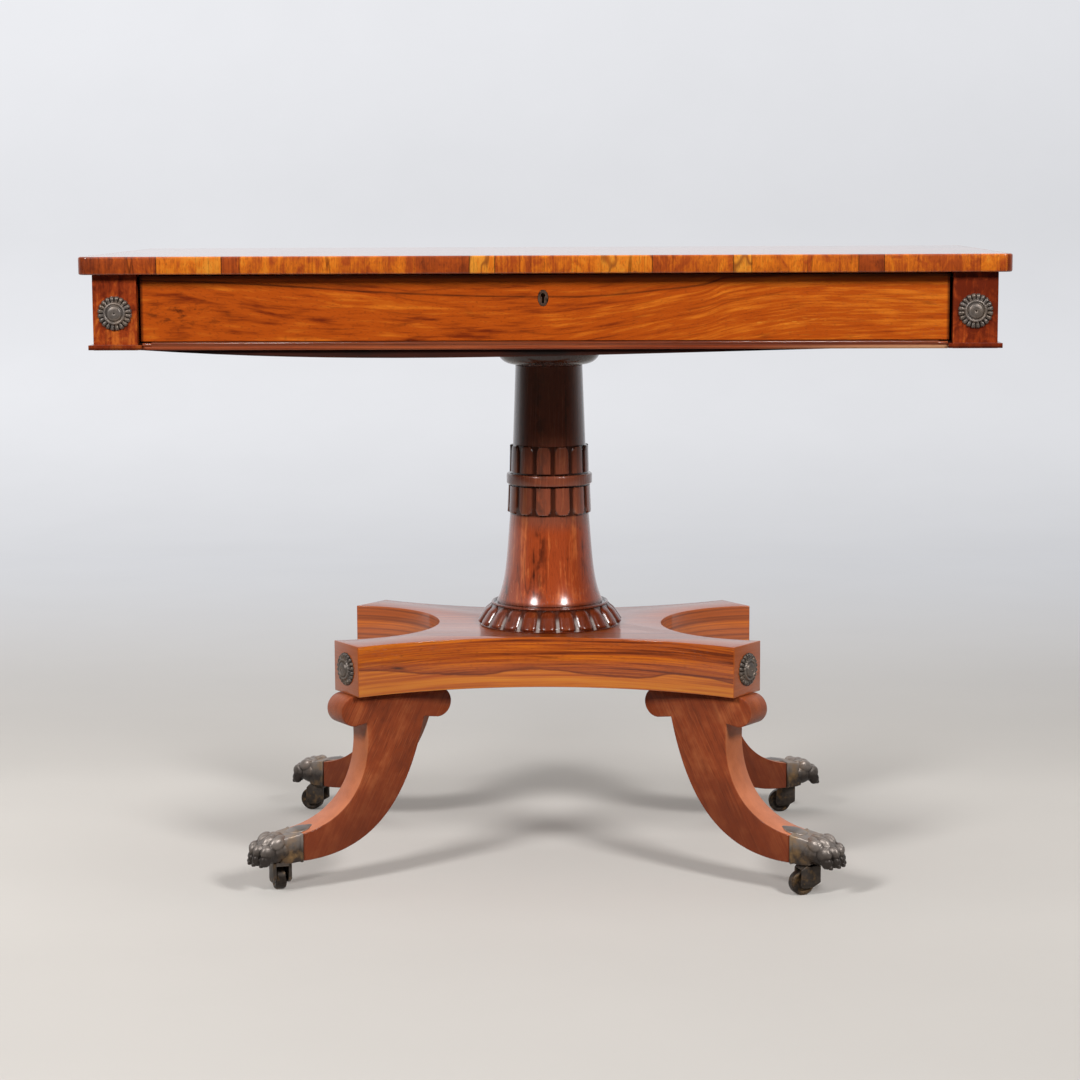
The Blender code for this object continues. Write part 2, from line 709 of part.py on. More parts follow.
def build_drawer(drawer):
    """The drawer's box: the sides lap into the front, and the bottom runs in grooves."""
    side_bottom = DRAWER_FLOOR + SLIDING_GAP
    side_top = DRAWER_FRONT_TOP - DRAWER_SIDE_DROP
    lap_y = DRAWER_FRONT_BACK_Y - DRAWER_LAP
    board_bottom = side_bottom + DRAWER_BOTTOM_RAISE
    board_top = board_bottom + DRAWER_BOTTOM_THICKNESS
    side_inner = DRAWER_X - DRAWER_SIDE_THICKNESS
    board_x = side_inner + DRAWER_GROOVE_DEPTH - GLUE_GAP
    board_front = DRAWER_FRONT_BACK_Y - DRAWER_GROOVE_DEPTH + GLUE_GAP

    front_low = (-DRAWER_X, DRAWER_FACE_Y, DRAWER_FRONT_BOTTOM)
    front_high = (DRAWER_X, DRAWER_FRONT_BACK_Y, DRAWER_FRONT_TOP)
    front = add_box("drawer_front", front_low, front_high, ROSEWOOD_VENEER, drawer)
    groove = box_helper(
        "front_groove",
        (-board_x - GLUE_GAP, board_front - GLUE_GAP, board_bottom - GLUE_GAP),
        (board_x + GLUE_GAP, DRAWER_FRONT_BACK_Y + BEYOND, board_top + GLUE_GAP),
    )
    cut(front, groove)

    for side, x_side in (("left", -1), ("right", 1)):
        xs = sorted((x_side * side_inner, x_side * DRAWER_X))
        low = (xs[0], lap_y, side_bottom)
        high = (xs[1], DRAWER_BACK_Y, side_top)
        panel = add_box("drawer_side_" + side, low, high, DRAWER_WOOD, drawer)
        slots = sorted((x_side * (side_inner - BEYOND), x_side * (board_x + GLUE_GAP)))
        slot = box_helper(
            "side_groove_" + side,
            (slots[0], lap_y - BEYOND, board_bottom - GLUE_GAP),
            (slots[1], DRAWER_BACK_Y + BEYOND, board_top + GLUE_GAP),
        )
        cut(panel, slot)
        laps = sorted((x_side * (side_inner - GLUE_GAP), x_side * (DRAWER_X + BEYOND)))
        lap = box_helper(
            "lap_" + side,
            (laps[0], lap_y - GLUE_GAP, DRAWER_FRONT_BOTTOM - BEYOND),
            (laps[1], DRAWER_FRONT_BACK_Y + BEYOND, side_top + GLUE_GAP),
        )
        cut(front, lap)

    back_low = (-side_inner + GLUE_GAP, DRAWER_BACK_Y - DRAWER_BACK_THICKNESS, board_top + GLUE_GAP)
    back_high = (side_inner - GLUE_GAP, DRAWER_BACK_Y, side_top)
    add_box("drawer_back", back_low, back_high, DRAWER_WOOD, drawer)
    board_low = (-board_x, board_front, board_bottom)
    board_high = (board_x, DRAWER_BACK_Y, board_top)
    add_box("drawer_bottom", board_low, board_high, DRAWER_WOOD, drawer)
    return front


def build_lock(drawer, front):
    """A lock let into the back of the drawer front, its bolt, and the oval escutcheon of the keyhole."""
    lock_bottom = DRAWER_FRONT_TOP - LOCK_HEIGHT
    mortise = box_helper(
        "lock_mortise",
        (-LOCK_WIDTH / 2 - GLUE_GAP, LOCK_FACE_Y - GLUE_GAP, lock_bottom - GLUE_GAP),
        (LOCK_WIDTH / 2 + GLUE_GAP, LOCK_BACK_Y + BEYOND, DRAWER_FRONT_TOP + BEYOND),
    )
    cut(front, mortise)
    recess_back = DRAWER_FACE_Y + ESCUTCHEON_THICKNESS
    recess_mesh = escutcheon_mesh("escutcheon_recess", GLUE_GAP, DRAWER_FACE_Y - BEYOND, recess_back)
    cut(front, add_helper("escutcheon_recess", recess_mesh))
    cut(front, keyhole_helper("front_keyhole", DRAWER_FACE_Y - BEYOND, LOCK_FACE_Y + BEYOND))

    plate_face = DRAWER_FACE_Y - ESCUTCHEON_PROUD
    plate_mesh = escutcheon_mesh("escutcheon", 0.0, plate_face, recess_back - GLUE_GAP)
    plate = add_piece("keyhole_escutcheon", plate_mesh, LOCK_BRASS, drawer)
    cut(plate, keyhole_helper("plate_keyhole", DRAWER_FACE_Y - BEYOND, recess_back + BEYOND))

    case_low = (-LOCK_WIDTH / 2, LOCK_FACE_Y, lock_bottom)
    case_high = (LOCK_WIDTH / 2, LOCK_BACK_Y, DRAWER_FRONT_TOP)
    case = add_box("lock_case", case_low, case_high, LOCK_BRASS, drawer)
    bolt_bottom = DRAWER_FRONT_TOP - BOLT_LENGTH
    channel_x = BOLT_WIDTH / 2 + SLIDING_GAP
    channel_y = BOLT_THICKNESS / 2 + SLIDING_GAP
    channel = box_helper(
        "bolt_channel",
        (-channel_x, BOLT_Y - channel_y, bolt_bottom - SLIDING_GAP),
        (channel_x, BOLT_Y + channel_y, DRAWER_FRONT_TOP + BEYOND),
    )
    cut(case, channel)
    key_depth = LOCK_FACE_Y + LOCK_THICKNESS / 2
    cut(case, keyhole_helper("case_keyhole", LOCK_FACE_Y - BEYOND, key_depth))
    bolt_low = (-BOLT_WIDTH / 2, BOLT_Y - BOLT_THICKNESS / 2, bolt_bottom)
    bolt_high = (BOLT_WIDTH / 2, BOLT_Y + BOLT_THICKNESS / 2, DRAWER_FRONT_TOP)
    add_box("lock_bolt", bolt_low, bolt_high, IRON, drawer)


def column_bore(name, bottom, top):
    radius = COLUMN_TENON_RADIUS + GLUE_GAP
    return rod_helper(name, radius, bottom - BEYOND, top + BEYOND, TURNED_STEPS)


def ring_of(outer, bottom, top):
    """Closes the outer side of a ring's profile with the bore for the column's tenon."""
    bore = COLUMN_TENON_RADIUS + GLUE_GAP
    return outer + [(bore, bottom), (bore, top)]


def shaft_profile(tenon_top, tenon_bottom):
    profile = [
        (0, tenon_top),
        (COLUMN_TENON_RADIUS, tenon_top),
        (COLUMN_TENON_RADIUS, SHAFT_TOP),
        (SHAFT_HEAD_RADIUS, SHAFT_TOP),
        (SHAFT_FOOT_RADIUS, UPPER_BAND_TOP),
        (UPPER_BAND_RADIUS, UPPER_BAND_TOP - COLLAR_CHAMFER),
        (UPPER_BAND_RADIUS, UPPER_BAND_BOTTOM + COLLAR_CHAMFER),
        (COLLAR_GROOVE_RADIUS, UPPER_BAND_BOTTOM),
        (COLLAR_GROOVE_RADIUS, COLLAR_RING_TOP),
        (COLLAR_RING_RADIUS - COLLAR_TAPER, COLLAR_RING_TOP),
        (COLLAR_RING_RADIUS, COLLAR_RING_TOP - COLLAR_TAPER),
        (COLLAR_RING_RADIUS, COLLAR_RING_BOTTOM + COLLAR_TAPER),
        (COLLAR_RING_RADIUS - COLLAR_TAPER, COLLAR_RING_BOTTOM),
        (COLLAR_GROOVE_RADIUS, COLLAR_RING_BOTTOM),
        (COLLAR_GROOVE_RADIUS, LOWER_BAND_TOP),
        (LOWER_BAND_RADIUS - COLLAR_TAPER, LOWER_BAND_TOP - COLLAR_CHAMFER),
        (LOWER_BAND_RADIUS, LOWER_BAND_BOTTOM + COLLAR_CHAMFER),
    ]
    for i in range(CURVE_STEPS + 1):
        t = i / CURVE_STEPS
        flare = TRUMPET_SPREAD * t + (1 - TRUMPET_SPREAD) * t**3
        radius = TRUMPET_NECK_RADIUS + (TRUMPET_FOOT_RADIUS - TRUMPET_NECK_RADIUS) * flare
        profile.append((radius, LOWER_BAND_BOTTOM - t * TRUMPET_HEIGHT))
    profile += [
        (COLUMN_TENON_RADIUS, TRUMPET_BOTTOM),
        (COLUMN_TENON_RADIUS, tenon_bottom),
        (0, tenon_bottom),
    ]
    return profile


def wedge_outline(play=0.0):
    """A wedge driven down from its head at height 0, and with some play the kerf that it fills."""
    head, point = WEDGE_HEAD / 2 + play, WEDGE_POINT / 2 + play
    foot = -WEDGE_LENGTH - play
    mouth = [(head, BEYOND), (-head, BEYOND)] if play else []
    return mouth + [(-head, 0), (-point, foot), (point, foot), (head, 0)]


def build_column():
    """Cap, shaft with its lobed collar, and base ring, all on the shaft's long tenons."""
    tenon_top = DRAWER_FLOOR - GLUE_GAP
    tenon_bottom = PLATFORM_BOTTOM + GLUE_GAP
    shaft_mesh = turned_mesh("column_shaft", shaft_profile(tenon_top, tenon_bottom), TURNED_STEPS)
    for band, height, beside in (
        (LOWER_BAND_BOTTOM, LOWER_BAND_HEIGHT, TRUMPET_NECK_RADIUS),
        (UPPER_BAND_BOTTOM, UPPER_BAND_HEIGHT, SHAFT_FOOT_RADIUS),
    ):
        inside = max(beside, COLLAR_GROOVE_RADIUS) + GLUE_GAP
        lobed(shaft_mesh, COLLAR_LOBES, LOBE_DEPTH, band, band + height, inside)
    shaft = add_piece("column_shaft", shaft_mesh, ROSEWOOD_SOLID)
    across = 2 * (COLUMN_TENON_RADIUS - WEDGE_INSET)
    for end, level, turn in (("upper", tenon_top, 0), ("lower", tenon_bottom, 180)):
        kerf_mesh = standing(outline_mesh("kerf_" + end, wedge_outline(GLUE_GAP), across + BEYOND))
        kerf = add_helper("kerf_" + end, kerf_mesh)
        name = "column_wedge_" + end
        wedge = add_piece(name, standing(outline_mesh(name, wedge_outline(), across)), DRAWER_WOOD)
        for obj in (kerf, wedge):
            obj.location.z = level
            obj.rotation_euler.y = math.radians(turn)
        cut(shaft, kerf)

    bead = BEAD_HEIGHT
    rise = [(i + 1) / ARC_STEPS * math.pi / 2 for i in range(ARC_STEPS)]
    bowl = [
        (
            CAP_NECK_RADIUS + (CAP_RADIUS - CAP_NECK_RADIUS) * math.sin(a),
            CAP_BOTTOM + bead + (CAP_HEIGHT - CAP_RIM - bead) * (1 - math.cos(a)),
        )
        for a in reversed(rise)
    ]
    neck = [(CAP_NECK_RADIUS, CAP_BOTTOM + bead), (CAP_NECK_RADIUS, CAP_BOTTOM)]
    cap_outer = [(CAP_RADIUS, CAP_TOP)] + bowl + neck
    cap = turned_mesh("column_cap", ring_of(cap_outer, CAP_BOTTOM, CAP_TOP), TURNED_STEPS, ring=True)
    add_piece("column_cap", cap, ROSEWOOD_SOLID)

    rim_top = RING_BOTTOM + BASE_RING_RIM
    bead_top = RING_TOP - 2 * bead
    spread = BASE_RING_RADIUS - bead - BASE_RING_TOP_RADIUS
    slope = []
    for i in range(RING_ROWS + 1):
        t = i / RING_ROWS
        swell = t + BASE_RING_SWELL * t * (1 - t)
        slope.append((BASE_RING_TOP_RADIUS + spread * swell, bead_top + (rim_top - bead_top) * t))
    ring_outer = (
        [(TRUMPET_FOOT_RADIUS + bead, RING_TOP), (BASE_RING_TOP_RADIUS, RING_TOP - bead)]
        + slope
        + [(BASE_RING_RADIUS, rim_top - bead / 2), (BASE_RING_RADIUS, RING_BOTTOM)]
    )
    ring_profile = ring_of(ring_outer, RING_BOTTOM, RING_TOP)
    ring = turned_mesh("column_base_ring", ring_profile, RING_STEPS, ring=True)
    lobed(ring, BASE_LOBES, BASE_LOBE_DEPTH, rim_top, bead_top - bead, TRUMPET_FOOT_RADIUS)
    add_piece("column_base_ring", ring, ROSEWOOD_SOLID)


def platform_outline():
    """Four arms with square ends, and a hollow between each two of them."""
    order = ("front_right", "rear_right", "rear_left", "front_left")
    waists = ((SIDE_WAIST, 0), (0, FRONT_WAIST), (-SIDE_WAIST, 0), (0, -FRONT_WAIST))
    ends = []
    for corner in order:
        direction = leg_direction(corner)
        across = Vector((-direction.y, direction.x)) * ARM_WIDTH / 2
        ends.append((direction * ARM_REACH - across, direction * ARM_REACH + across))
    points = []
    for i, waist in enumerate(waists):
        points += [tuple(ends[i][0]), tuple(ends[i][1])]
        points += hollow(ends[i][1], waist, ends[(i + 1) % 4][0])
    return points


def leg_tenon_corners(play=0.0):
    middle = (LEG_BAR_INNER + LEG_BAR_OUTER) / 2
    half = LEG_TENON_WIDTH / 2 + play
    thick = LEG_TENON_THICKNESS / 2 + play
    return (
        (middle - half, -thick, LEG_HEIGHT - LEG_BAR_HEIGHT / 2),
        (middle + half, thick, LEG_HEIGHT + LEG_TENON_HEIGHT + play),
    )


def build_platform():
    outline = outline_mesh("platform", platform_outline(), PLATFORM_THICKNESS)
    platform = add_piece("platform", outline, ROSEWOOD_VENEER)
    platform.location.z = PLATFORM_BOTTOM + PLATFORM_THICKNESS / 2
    cut(platform, column_bore("platform_bore", PLATFORM_BOTTOM, PLATFORM_TOP))
    for corner in CORNERS:
        low, high = leg_tenon_corners(GLUE_GAP)
        mortise = box_helper("leg_mortise_" + corner, low, high)
        mortise.data.transform(Matrix.Translation(mortise.location))
        mortise.location = (0, 0, 0)
        mortise.rotation_euler.z = leg_turn(corner)
        cut(platform, mortise)


def sabre_curve(top, end, pulls):
    reach, drop = end[0] - top[0], top[1] - end[1]
    pulled = [(top[0] + across * reach, top[1] - down * drop) for across, down in pulls]
    return bezier(top, *pulled, end)


def leg_outline():
    """The scrolled top bar and the sabre curve below it, as (distance from the axis, height)."""
    round_end = LEG_BAR_HEIGHT / 2
    bar_middle = LEG_HEIGHT - round_end
    bar_bottom = LEG_HEIGHT - LEG_BAR_HEIGHT
    neck = bar_bottom + LEG_NECK_RISE
    outer = sabre_curve((LEG_NECK_OUTER, neck), (LEG_END, LEG_END_TOP), LEG_OUTER_PULLS)
    inner = sabre_curve((LEG_NECK_INNER, neck), (LEG_END, LEG_END_BOTTOM), LEG_INNER_PULLS)
    return (
        arc((LEG_BAR_INNER + round_end, bar_middle), round_end, 270, 90, 2 * ARC_STEPS)
        + arc((LEG_BAR_OUTER - round_end, bar_middle), round_end, 90, -90, 2 * ARC_STEPS)
        + outer
        + inner[::-1]
    )


def leg_tongue_corners(play=0.0):
    half = LEG_THICKNESS / 2 - LEG_TONGUE_SHOULDER + play
    return (
        (LEG_END - BEYOND, -half, LEG_END_BOTTOM + LEG_TONGUE_SHOULDER - play),
        (LEG_END + LEG_TONGUE_LENGTH + play, half, LEG_END_TOP - LEG_TONGUE_SHOULDER + play),
    )


def leg_mesh():
    """One leg in its own plane, +X outwards, with its tenon and the tongue that enters the paw cap."""
    leg = add_helper("leg", standing(outline_mesh("leg", leg_outline(), LEG_THICKNESS)))
    join(leg, box_helper("leg_tenon", *leg_tenon_corners()))
    join(leg, box_helper("leg_tongue", *leg_tongue_corners()))
    return baked(leg)


def paw_mesh():
    """One paw cap in its leg's plane: cuff, rounded paw and toes, with the socket and the caster's bore."""
    back = LEG_END + GLUE_GAP
    front = back + PAW_CUFF_LENGTH
    low, high = LEG_END_BOTTOM - PAW_CUFF_LIP, LEG_END_TOP + PAW_CUFF_LIP
    side = [(back, low), (front, low), (front, high - PAW_CUFF_FALL), (back, high)]
    cuff = add_helper("cuff", standing(outline_mesh("cuff", side, LEG_THICKNESS + 2 * PAW_CUFF_LIP)))
    tip = LEG_END + PAW_LENGTH
    body_length = PAW_LENGTH - TOE_SETBACK
    body_height = PAW_TOP - PAW_BOTTOM + TOE_SETBACK
    centre = (LEG_END + body_length / 2 + GLUE_GAP, 0, PAW_TOP - body_height / 2)
    join(cuff, ball_helper("paw_body", centre, (body_length, PAW_WIDTH, body_height)))
    for i in range(TOE_COUNT):
        place = i - (TOE_COUNT - 1) / 2
        setback = TOE_SETBACK * (abs(place) > 1)
        toe_centre = (tip - TOE_LENGTH / 2 - setback, place * TOE_PITCH, PAW_BOTTOM + TOE_HEIGHT / 2)
        join(cuff, ball_helper(f"toe_{i}", toe_centre, (TOE_LENGTH, TOE_WIDTH, TOE_HEIGHT)))
    below = box_helper(
        "paw_sole",
        (back - BEYOND, -PAW_WIDTH, PAW_BOTTOM - PAW_TOP),
        (tip + BEYOND, PAW_WIDTH, PAW_BOTTOM),
    )
    cut(cuff, below)
    cut(cuff, box_helper("paw_socket", *leg_tongue_corners(GLUE_GAP)))
    bore_top = CROWN_TOP + SPINDLE_LENGTH + SLIDING_GAP
    bore = rod_helper("paw_bore", SPINDLE_RADIUS + SLIDING_GAP, PAW_BOTTOM - BEYOND, bore_top)
    bore.location.x = CASTER_REACH
    cut(cuff, bore)
    return smoothed(baked(cuff))


def build_legs():
    leg, paw = leg_mesh(), paw_mesh()
    for corner in CORNERS:
        turn = leg_turn(corner)
        add_piece("leg_" + corner, leg, ROSEWOOD_SOLID).rotation_euler.z = turn
        add_piece("paw_cap_" + corner, paw, PAW_BRASS).rotation_euler.z = turn


def fork_mesh():
    """One caster fork on its swivel axis, the wheel trailing towards +X: crown, two cheeks and spindle."""
    nose = arc((CASTER_TRAIL, WHEEL_RADIUS), CHEEK_NOSE, -90, 15)
    side = (
        [(-CHEEK_BACK, CROWN_TOP), (-CHEEK_BACK, WHEEL_RADIUS - CHEEK_NOSE)]
        + nose
        + [(CROWN_FRONT, CROWN_BOTTOM), (CROWN_FRONT - CROWN_THICKNESS, CROWN_TOP)]
    )
    slot = WHEEL_WIDTH / 2 + CASTER_PLAY
    width = 2 * (slot + CHEEK_THICKNESS)
    fork = add_helper("fork", standing(outline_mesh("fork", side, width)))
    slot_low = (-CHEEK_BACK - BEYOND, -slot, -BEYOND)
    slot_high = (CASTER_TRAIL + WHEEL_RADIUS + BEYOND, slot, CROWN_BOTTOM)
    cut(fork, box_helper("wheel_slot", slot_low, slot_high))
    hole = rod_helper("axle_hole", AXLE_RADIUS + SLIDING_GAP, -width, width)
    hole.location = (CASTER_TRAIL, 0, WHEEL_RADIUS)
    hole.rotation_euler.x = math.radians(90)
    cut(fork, hole)
    spindle_foot = CROWN_TOP - CROWN_THICKNESS / 2
    join(fork, rod_helper("spindle", SPINDLE_RADIUS, spindle_foot, CROWN_TOP + SPINDLE_LENGTH))
    return smoothed(baked(fork))


def wheel_mesh():
    """A brass wheel with its axle, turned about Z and laid along Y."""
    half = WHEEL_WIDTH / 2
    end = half + CASTER_PLAY + CHEEK_THICKNESS
    face = WHEEL_RADIUS - WHEEL_EDGE
    axle = [(0, end), (AXLE_RADIUS, end), (AXLE_RADIUS, half)]
    upper = axle + [(face, half), (WHEEL_RADIUS, half - WHEEL_EDGE)]
    profile = upper + [(radius, -height) for radius, height in reversed(upper)]
    return standing(turned_mesh("wheel", profile, WHEEL_STEPS))


def build_casters():
    fork, wheel = fork_mesh(), wheel_mesh()
    for corner, turn in CASTER_TURN.items():
        place = leg_direction(corner) * CASTER_REACH
        swivel = add_empty("caster_swivel_" + corner, (place.x, place.y, 0), math.radians(turn))
        add_piece("caster_fork_" + corner, fork, PAW_BRASS, swivel)
        roller = add_piece("caster_wheel_" + corner, wheel, PAW_BRASS, swivel)
        roller.location = (CASTER_TRAIL, 0, WHEEL_RADIUS)


def rosette_mesh():
    """A stamped rosette on its back, +Z outwards: button, hollow, ring of petals and thin rim."""
    face = [(ROSETTE_RADIUS * across, ROSETTE_THICKNESS * up) for across, up in ROSETTE_FACE]
    return turned_mesh("rosette", face + [(ROSETTE_RADIUS, 0), (0, 0)], ROSETTE_STEPS)


def build_rosettes():
    """A rosette on the long face of each corner post and one on the end of each arm of the platform."""
    rosette = rosette_mesh()
    upright = math.radians(90)
    height = (FRAME_BOTTOM + PLINTH_REVEAL + PLINTH_HEIGHT + FRAME_TOP) / 2 - ROSETTE_DROP
    for corner, (x_side, y_side) in CORNERS.items():
        post = add_piece(f"rosette_{corner}_post", rosette, PAW_BRASS)
        post.location = (x_side * (FRAME_X - POST_WIDTH / 2), y_side * (FRAME_Y + GLUE_GAP), height)
        post.rotation_euler = (upright, 0, 0 if y_side < 0 else math.pi)
        arm_end = leg_direction(corner) * (ARM_REACH + GLUE_GAP)
        arm = add_piece(f"rosette_{corner}_platform", rosette, PAW_BRASS)
        arm.location = (arm_end.x, arm_end.y, PLATFORM_BOTTOM + PLATFORM_THICKNESS / 2)
        arm.rotation_euler = (upright, 0, leg_turn(corner) + upright)


def main():
    drawer = add_empty("drawer_slide")
    build_top()
    build_posts()
    build_rails()
    build_mouldings()
    build_supports()
    front = build_drawer(drawer)
    build_lock(drawer, front)
    build_column()
    build_platform()
    build_legs()
    build_casters()
    build_rosettes()
    print(f"Table height {TABLE_HEIGHT:.4f} m")


main()
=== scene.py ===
"""A rosewood pedestal table with one drawer: its looks, laid out as an add-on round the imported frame."""

import math

import bpy
import numpy as np
from mathutils import Matrix, Vector


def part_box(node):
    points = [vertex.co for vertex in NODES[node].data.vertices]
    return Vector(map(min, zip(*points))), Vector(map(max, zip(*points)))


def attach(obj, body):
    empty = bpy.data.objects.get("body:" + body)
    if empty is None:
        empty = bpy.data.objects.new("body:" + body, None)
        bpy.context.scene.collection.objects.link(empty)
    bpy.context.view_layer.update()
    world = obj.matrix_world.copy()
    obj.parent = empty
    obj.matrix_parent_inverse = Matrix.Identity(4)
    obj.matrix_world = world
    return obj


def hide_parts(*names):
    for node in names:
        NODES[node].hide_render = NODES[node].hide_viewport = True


bl_info = {
    "name": "Pedestal table",
    "version": (1, 0, 0),
    "blender": (4, 5, 0),
    "location": "View3D > Sidebar > Table",
    "description": "Dresses the packed frame of a rosewood pedestal table with one drawer",
    "category": "Object",
}

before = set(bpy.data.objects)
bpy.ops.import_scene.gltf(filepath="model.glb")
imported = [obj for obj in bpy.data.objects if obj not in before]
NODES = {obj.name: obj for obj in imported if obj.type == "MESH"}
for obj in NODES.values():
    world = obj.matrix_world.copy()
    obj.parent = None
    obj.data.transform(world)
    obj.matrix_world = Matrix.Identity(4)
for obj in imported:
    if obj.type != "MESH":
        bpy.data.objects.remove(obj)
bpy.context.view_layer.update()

CORNERS = {"front_left": (-1, -1), "front_right": (1, -1), "rear_left": (-1, 1), "rear_right": (1, 1)}
ARM_ANGLE = math.radians(56.5)  # between an arm of the platform and the middle of the front
ARM_X, ARM_Y = math.sin(ARM_ANGLE), math.cos(ARM_ANGLE)
ARM_REACH = 0.2785  # from the axis to the end of an arm
TENON = 0.0200  # radius of the column's tenons
BORE = TENON + 0.0003  # of the pieces that sit on them
GLUE_GAP = 0.0003
GRAIN = "grain"  # the attribute that holds a piece's own coordinates
GROOVE_SHADE = "groove"  # the attribute that is 1 in the grooves between lobes and on a rosette's outer petals, where shade is painted
GAP_SHEEN = "gap_sheen"  # the attribute that is 1 in the gaps of the base ring, where a pale grey reflection is painted
SHEEN_FACES = "sheen"  # the attribute that is 1 on the faces of a leg between its two sides, where a pale sheen is painted


def tone(red, green, blue):
    """A colour as it is seen, each part from 0 to 255, made linear for the shader."""
    return tuple(
        part / 255 / 12.92 if part <= 10.3 else ((part / 255 + 0.055) / 1.055) ** 2.4
        for part in (red, green, blue)
    ) + (1.0,)


def length(name, description, default):
    return bpy.props.FloatProperty(
        name=name, description=description, default=default, min=0.0, precision=4, unit="LENGTH"
    )


def count(name, description, default):
    return bpy.props.IntProperty(name=name, description=description, default=default, min=3)


def colour(name, description, default):
    return bpy.props.FloatVectorProperty(
        name=name, description=description, default=default, size=4, min=0.0, max=1.0, subtype="COLOR"
    )


class TableSizes(bpy.types.PropertyGroup):
    """Sizes of the pieces that the frame doesn't give by itself"""

    edge_softness: length("Edge softness", "Width of the worn edge on flat boards", 0.0006)
    banding_arris: length("Banding arris", "Rounding of the edges of the top's banding", 0.0021)
    trumpet_height: length("Trumpet height", "Flared foot of the column", 0.1075)
    lower_band_height: length("Lower band height", "Lobed band under the collar ring", 0.0330)
    groove_height: length("Groove height", "Dark groove on both sides of the collar ring", 0.0019)
    collar_ring_height: length("Collar ring height", "Plain ring between the two lobed bands", 0.0128)
    upper_band_height: length("Upper band height", "Lobed band over the collar ring", 0.0325)
    lobe_depth: length("Lobe depth", "How far the lobes of the collar stand out", 0.0028)
    ring_lobe_depth: length("Base lobe depth", "How far the lobes of the base ring stand out", 0.0040)
    collar_lobes: count("Collar lobes", "Lobes round each band of the collar", 13)
    ring_lobes: count("Base lobes", "Lobes round the base ring", 22)
    rosette_petals: count("Petals", "Petals round a rosette", 20)
    leg_edge: length("Leg edge", "Rounding of the edges of a leg", 0.0011)
    paw_grid: length("Paw grid", "Grid that the lumps of a paw melt together on", 0.0009)


class TableColours(bpy.types.PropertyGroup):
    """Colours of the woods and metals"""

    # Also laid on as painted shade: under the top, at the drawer's ends, on the column's cap, left lobes
    # and grooves.
    ink_and_shade: colour("Ink lines", "Black growth lines of the rosewood", tone(44, 16, 6))
    drawer_dark: colour("Drawer, dark", "Dark streaks of the drawer front", tone(118, 40, 8))
    drawer_middle: colour("Drawer, middle", "Ground colour of the drawer front", tone(178, 76, 12))
    # Also laid on as painted light in a band on the drawer front's upper part.
    drawer_light: colour("Drawer, light", "Light streaks of the drawer front", tone(212, 112, 26))
    band_dark: colour("Banding, dark", "Darkest pieces of the edge banding", tone(108, 44, 22))
    band_middle: colour("Banding, middle", "Usual pieces of the edge banding", tone(166, 72, 24))
    band_gold: colour("Banding, gold", "Palest pieces of the edge banding", tone(222, 142, 46))
    post_dark: colour("Post, dark", "Dark cross figure of the corner posts", tone(104, 34, 12))
    post_middle: colour("Post, middle", "Ground colour of the corner posts", tone(150, 58, 20))
    post_light: colour("Post, light", "Light patches of the corner posts", tone(194, 98, 34))
    # Also laid on as painted shade down the column's right side.
    column_dark: colour("Column, dark", "Dark streaks of the column", tone(70, 26, 12))
    column_middle: colour("Column, middle", "Ground colour of the column", tone(166, 70, 32))
    # Painted shade of the column's upper end under the top.
    column_head_shade: colour("Column, head", "Smoky upper end of the column", tone(104, 74, 62))
    column_light: colour("Column, light", "Light streaks of the column", tone(208, 108, 54))
    platform_dark: colour("Platform, dark", "Dark waves on the platform's sides", tone(108, 44, 16))
    platform_middle: colour("Platform, middle", "Ground colour of the platform's sides", tone(174, 80, 28))
    platform_gold: colour("Platform, gold", "Pale sapwood low on the platform's sides", tone(208, 114, 34))
    # Stain that also stands in for the shade under the frieze.
    stain_and_shade: colour("Stain", "Rail and bearer under the drawer", tone(20, 9, 5))
    moulding_dark: colour("Moulding, dark", "Dark lines of the strips", tone(88, 34, 16))
    moulding_middle: colour("Moulding, middle", "Ground colour of the strips", tone(120, 50, 24))
    moulding_light: colour("Moulding, light", "Light lines of the strips", tone(148, 74, 40))
    worn_wood: colour("Worn wood", "Pale rubbed edge of the front strip", tone(190, 142, 104))
    # Painted pale reflection in the base ring's gaps and on the left of the trumpet.
    sheen_grey: colour("Gap grey", "Dust between the lobes of the base ring", tone(168, 158, 152))
    leg_dark: colour("Leg, dark", "Dark streaks of the legs", tone(112, 48, 24))
    leg_middle: colour("Leg, middle", "Ground colour of the legs", tone(146, 65, 31))
    leg_light: colour("Leg, light", "Fine light lines of the legs", tone(196, 112, 66))
    # Painted sheen where light falls on the legs' upper and outer faces and on the platform's arms.
    leg_sheen: colour("Leg, faded", "Sun faded outer faces of the legs", tone(216, 132, 92))
    lining: colour("Drawer lining", "Mahogany of the drawer's sides and bottom", tone(150, 92, 58))
    carcase: colour("Carcase", "Pine of the runners and bearer", tone(196, 152, 98))
    bronze_dark: colour("Bronze, dark", "Patina in the hollows of the mounts", tone(56, 49, 45))
    bronze_grey: colour("Bronze, grey", "Handled parts of the mounts", tone(156, 145, 137))
    bronze_worn: colour("Bronze, worn", "Worn patches of the paw caps", tone(168, 130, 82))
    iron: colour("Caster bronze", "Near black metal of the casters", tone(58, 50, 44))
    brass: colour("Brass", "Lock case", tone(176, 138, 74))
    escutcheon: colour("Escutcheon", "Dull brown brass round the keyhole", tone(112, 88, 74))
    steel: colour("Bolt iron", "Bolt of the lock", tone(120, 118, 116))
    floor: colour("Floor", "Studio floor", tone(216, 211, 205))
    wall: colour("Backdrop", "Studio backdrop", tone(228, 229, 233))


# Node trees


